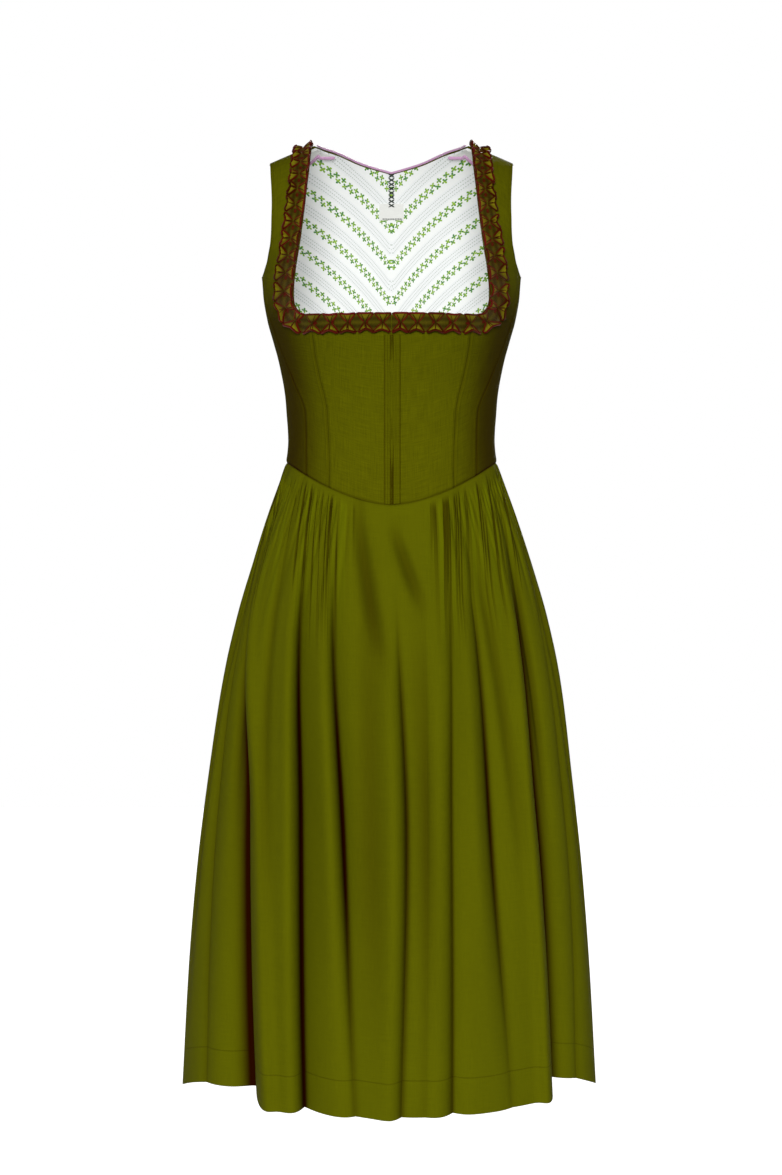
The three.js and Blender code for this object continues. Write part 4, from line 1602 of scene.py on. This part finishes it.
@dataclass(frozen=True)
class Drag:
    """A soft slanting trough high on the skirt."""

    from_angle: float
    to_angle: float
    from_drop: float
    to_drop: float
    width: float
    depth: float


@dataclass(frozen=True)
class SkirtPanel:
    """One panel of the skirt, between two folds.

    Columns go from one fold to the next and rows from hem to waist; waist_cut and hem_cut are
    the metres across its flat cut, before it is gathered.
    """

    name: str
    first: str
    last: str
    columns: int
    rows: int
    waist_cut: float
    hem_cut: float


@dataclass
class Skirt:
    """The full skirt: three panels, gathered at the waist and falling in deep folds."""

    form: DressForm
    wardrobe: Wardrobe
    thick: float = 1.0
    flat_half: float = 17.0
    row_power: float = 1.4
    drag_shade: float = 0.064
    panels: tuple[SkirtPanel, ...] = (
        SkirtPanel("skirt_front_left", "centre_front", "left_side", 42, 180, 0.36, 0.46),
        SkirtPanel("skirt_back", "left_side", "right_side", 29, 140, 0.72, 0.92),
        SkirtPanel("skirt_front_right", "right_side", "centre_front", 52, 176, 0.36, 0.48),
    )
    drags: tuple[Drag, ...] = (
        Drag(-15, -3, 0.02, 0.27, 3.1, 7.0),
        Drag(1.6, 11.5, 0.05, 0.18, 2.6, 6.5),
        Drag(-8, -5, 0.2, 0.85, 4.2, 5.0),
        Drag(9, 11, 0.25, 0.8, 3.4, 3.5),
        Drag(36, 41, 0.1, 0.6, 2.4, 5.0),
        Drag(-52, -37, 0.05, 0.7, 2.4, 4.0),
        Drag(60, 58, 0.1, 0.55, 2.2, 6.0),
        Drag(-72, -55, 0.08, 0.6, 3.0, 5.0),
        Drag(78, 80, 0.08, 0.8, 2.6, 6.0),
        Drag(-83, -78, 0.05, 0.8, 2.6, 6.0),
        Drag(148, 146, 0.1, 0.8, 2.4, 5.0),
        Drag(181, 183, 0.06, 0.6, 3.0, 5.0),
        Drag(199, 200, 0.1, 0.9, 2.4, 5.0),
        Drag(217, 219, 0.05, 0.7, 2.4, 6.0),
    )

    def gathers(self) -> list[tuple[float, float, float, float, float]]:
        """Scatter the small tucks under the waist seam, leaving the middle front flat.

        Returns:
            For each tuck its angle, its angle lower down, width, depth and length.
        """
        chance = np.random.default_rng(8)
        tucks = []
        angle = self.flat_half
        while angle < 360 - self.flat_half:
            near = min(angle, 360 - angle)
            strength = float(ease(np.array(near), self.flat_half - 2, self.flat_half + 14))
            lean = chance.uniform(-1.6, 1.6)
            tucks.append((angle, angle + lean, chance.uniform(0.5, 0.9),
                          blend(1.2, 2.8, strength) * chance.uniform(0.5, 1.3),
                          chance.uniform(0.08, 0.28)))
            angle += chance.uniform(2.2, 4.4)
        return tucks

    def push(self, angle: Array, drop: Array) -> tuple[Array, Array]:
        """Give how far folds, tucks and soft troughs take the cloth in, and how much painted
        shade they put on it.

        Args:
            angle: degrees round from the middle front.
            drop: the share of the way from the waist seam to the hem.

        Returns:
            The push in millimetres, and a share of painted shade from 0 to 1.
        """
        depth, painted_shade_share = self.form.folds(angle, drop)
        for start, end, width, deep, length in self.gathers():
            centre = blend(start, end, ease(drop, 0.0, 0.2))
            away = away_from(angle, centre)
            spread = width * (1 + 4.5 * drop / length * 0.35)
            grown = ease(drop, 0.010, 0.035) * (1 - ease(drop, 0.35 * length, 1.25 * length))
            depth += deep * grown * bell(away / spread, 1.5)
            # Painted shade in each tuck.
            painted_shade_share += 0.07 * deep * grown * bell(away / (0.6 * spread))
        for drag in self.drags:
            share = (drop - drag.from_drop) / (drag.to_drop - drag.from_drop)
            centre = blend(drag.from_angle, drag.to_angle, np.clip(share, 0, 1))
            away = away_from(angle, centre)
            trough = drag.depth * bell((share - 0.45) / 0.5, 3.0) * bell(away / drag.width)
            depth += trough
            # Painted shade in each soft trough.
            painted_shade_share += self.drag_shade * trough
        slow = np.sin(np.radians(angle * 7 + 40)) * np.sin(drop * 5 + 1)
        slow += 0.7 * np.sin(np.radians(angle * 17 + 80) + drop * 3.0)
        depth += 0.9 * slow * ease(drop, 0.03, 0.4) + 1.0 * bell(drop / 0.0026)
        # Painted shade in a thin line just under the waist seam.
        painted_shade_share += 0.45 * bell(drop / 0.0014)
        return depth, np.clip(painted_shade_share, 0, 1)

    def fold_angles(self, position: Array, drop: Array) -> Array:
        """Give the angle of a column that follows the folds; fold i lies at position i.

        Args:
            position: each column's place among the folds, ending on a fold.
            drop: the share of the way from the waist seam to the hem, by rows and columns.

        Returns:
            Degrees round from the middle front.
        """
        count = len(FOLDS)
        table = np.stack([fold.angle(drop[:, 0]) for fold in FOLDS], axis=-1)
        fold = np.minimum(np.floor(position), position[-1] - 1).astype(int)
        share = position - fold
        low = table[:, fold % count] + 360 * (fold // count)
        high = table[:, (fold + 1) % count] + 360 * ((fold + 1) // count)
        return blend(low, high, share[None, :])

    def panel(self, plan: SkirtPanel) -> None:
        """Make and dress one panel."""
        names = [fold.name for fold in FOLDS]
        first = names.index(plan.first)
        last = names.index(plan.last) or len(FOLDS)
        step = np.linspace(0, 1, plan.columns, endpoint=False)
        curve = blend(step, (1 - np.cos(step * math.pi)) / 2, 0.5)
        position = np.concatenate([curve + fold for fold in range(first, last)] + [[float(last)]])
        down = np.linspace(1, 0, plan.rows) ** self.row_power
        drop = down[:, None] + np.zeros((1, len(position)))
        angle = self.fold_angles(position, drop)
        push, painted_shade_share = self.push(angle, drop)
        grid = Grid(self.form.skirt(angle, drop, push))
        hem = grid.run_across()[0]
        across = hem / hem[-1] * plan.hem_cut
        height = grid.run_up() * MM
        grid.uv = np.stack([np.broadcast_to(across, height.shape), height], axis=-1)
        grid.marks["painted_shade"] = painted_shade_share
        near = np.minimum(angle % 360, 360 - angle % 360)
        # Where this mark is high the material paints the gathers' shade and highlight.
        grid.marks["gather"] = (ease(near, self.flat_half - 4, self.flat_half + 6)
                                * ease(drop, 0.004, 0.022) * (1 - ease(drop, 0.04, 0.3)))
        piece = self.wardrobe.sew(f"cloth_{plan.name}", grid, self.thick, Finish.SKIRT,
                                  "skirt_cloth", plan.name)

    def build(self) -> None:
        """Make the two front panels and the back."""
        for plan in self.panels:
            self.panel(plan)


# ---- Studio ----------------------------------------------------------------------------------

@dataclass(frozen=True)
class Sun:
    """A broad soft light: where it stands from the dress, its strength and width in degrees."""

    name: str
    towards: tuple[float, float, float]
    strength: float
    spread: float

    def hang(self) -> None:
        """Add the light."""
        lamp = bpy.data.lights.new(self.name, "SUN")
        lamp.energy = self.strength
        lamp.angle = math.radians(self.spread)
        holder = bpy.data.objects.new(self.name, lamp)
        holder.rotation_euler = Vector(self.towards).to_track_quat("Z", "Y").to_euler()
        bpy.context.scene.collection.objects.link(holder)


@dataclass
class Studio:
    """A pale floor well under the hem, soft light from the front, and the camera."""

    centre_up: float = -0.507
    distance: float = 3.0
    half_height: float = 0.6756
    side_step: float = -0.0005
    floor_under: float = 0.36
    floor_size: float = 14.0
    sensor: float = 36.0
    world_glow: float = 0.09
    suns: tuple[Sun, ...] = (
        Sun("front_light", (-0.04, -1.0, 0.1), 3.1, 18),
        Sun("back_light", (0.15, 1.0, 0.4), 2.3, 24),
        Sun("left_light", (1.0, 0.35, 0.3), 0.3, 40),
        Sun("right_light", (-1.0, 0.35, 0.3), 0.3, 40),
    )

    def floor(self) -> None:
        """Lay the floor; from beneath it can be seen through."""
        up = CAD_BOX[0][2] - self.floor_under
        bpy.ops.mesh.primitive_plane_add(size=self.floor_size, location=(0, 1.0, up))
        floor = bpy.context.object
        floor.name = "studio_floor"
        recipe = Recipe("pale_floor")
        place = recipe.add("ShaderNodeTexCoord", {}, {})
        grain = recipe.add("ShaderNodeTexNoise", {}, {"Vector": place.outputs["Object"],
                                                      "Scale": 6.0 / self.floor_size,
                                                      "Detail": 3.0})
        colour = recipe.mix(grain.outputs[0], (0.86, 0.86, 0.86, 1), (0.9, 0.9, 0.9, 1))
        recipe.shade(Base_Color=colour, Roughness=0.9, Emission_Color=(1, 1, 1, 1),
                     Emission_Strength=0.75)
        side = recipe.add("ShaderNodeNewGeometry", {}, {})
        clear = recipe.add("ShaderNodeBsdfTransparent", {}, {})
        both = recipe.add("ShaderNodeMixShader", {}, {0: side.outputs["Backfacing"],
                                                      1: recipe.shader.outputs[0],
                                                      2: clear.outputs[0]})
        recipe.feed(recipe.output.inputs["Surface"], both.outputs[0])
        floor.data.materials.append(recipe.material)
        floor.visible_diffuse = False
        floor.visible_shadow = False

    def world(self) -> None:
        """Show white behind the dress and light it with a weaker grey."""
        world = bpy.data.worlds.new("studio")
        bpy.context.scene.world = world
        nodes = Nodes(world)
        seen = nodes.add("ShaderNodeBackground", {}, {"Color": (1, 1, 1, 1), "Strength": 1.0})
        lit = nodes.add("ShaderNodeBackground", {}, {"Color": (1.0, 0.97, 0.95, 1),
                                                     "Strength": self.world_glow})
        ray = nodes.add("ShaderNodeLightPath", {}, {})
        mix = nodes.add("ShaderNodeMixShader", {}, {0: ray.outputs["Is Camera Ray"],
                                                    1: lit.outputs[0], 2: seen.outputs[0]})
        nodes.add("ShaderNodeOutputWorld", {}, {0: mix.outputs[0]})

    def camera(self) -> None:
        """Stand the camera level in front of the dress."""
        lens = bpy.data.cameras.new("studio_camera")
        lens.sensor_width = self.sensor
        lens.lens = self.sensor * self.distance / (2 * self.half_height)
        holder = bpy.data.objects.new("studio_camera", lens)
        holder.location = (self.side_step, -self.distance, self.centre_up)
        holder.rotation_euler = (math.pi / 2, 0, 0)
        bpy.context.scene.collection.objects.link(holder)
        bpy.context.scene.camera = holder

    def build(self) -> None:
        """Set up the studio."""
        bpy.context.scene.view_settings.view_transform = "Standard"
        self.floor()
        self.world()
        for sun in self.suns:
            sun.hang()
        self.camera()


def main() -> None:
    """Build the dress and its studio, piece by piece."""
    logging.basicConfig(level=logging.INFO, format="%(name)s: %(message)s")
    for piece in list(bpy.context.selected_objects):
        piece.select_set(False)
    form = DressForm()
    wardrobe = Wardrobe()
    bodice = Bodice(form, wardrobe)
    bodice.build()
    BackInside(form, bodice, wardrobe).build()
    NeckTrim(form, wardrobe).build()
    Skirt(form, wardrobe).build()
    Studio().build()


if __name__ == "__main__":
    main()
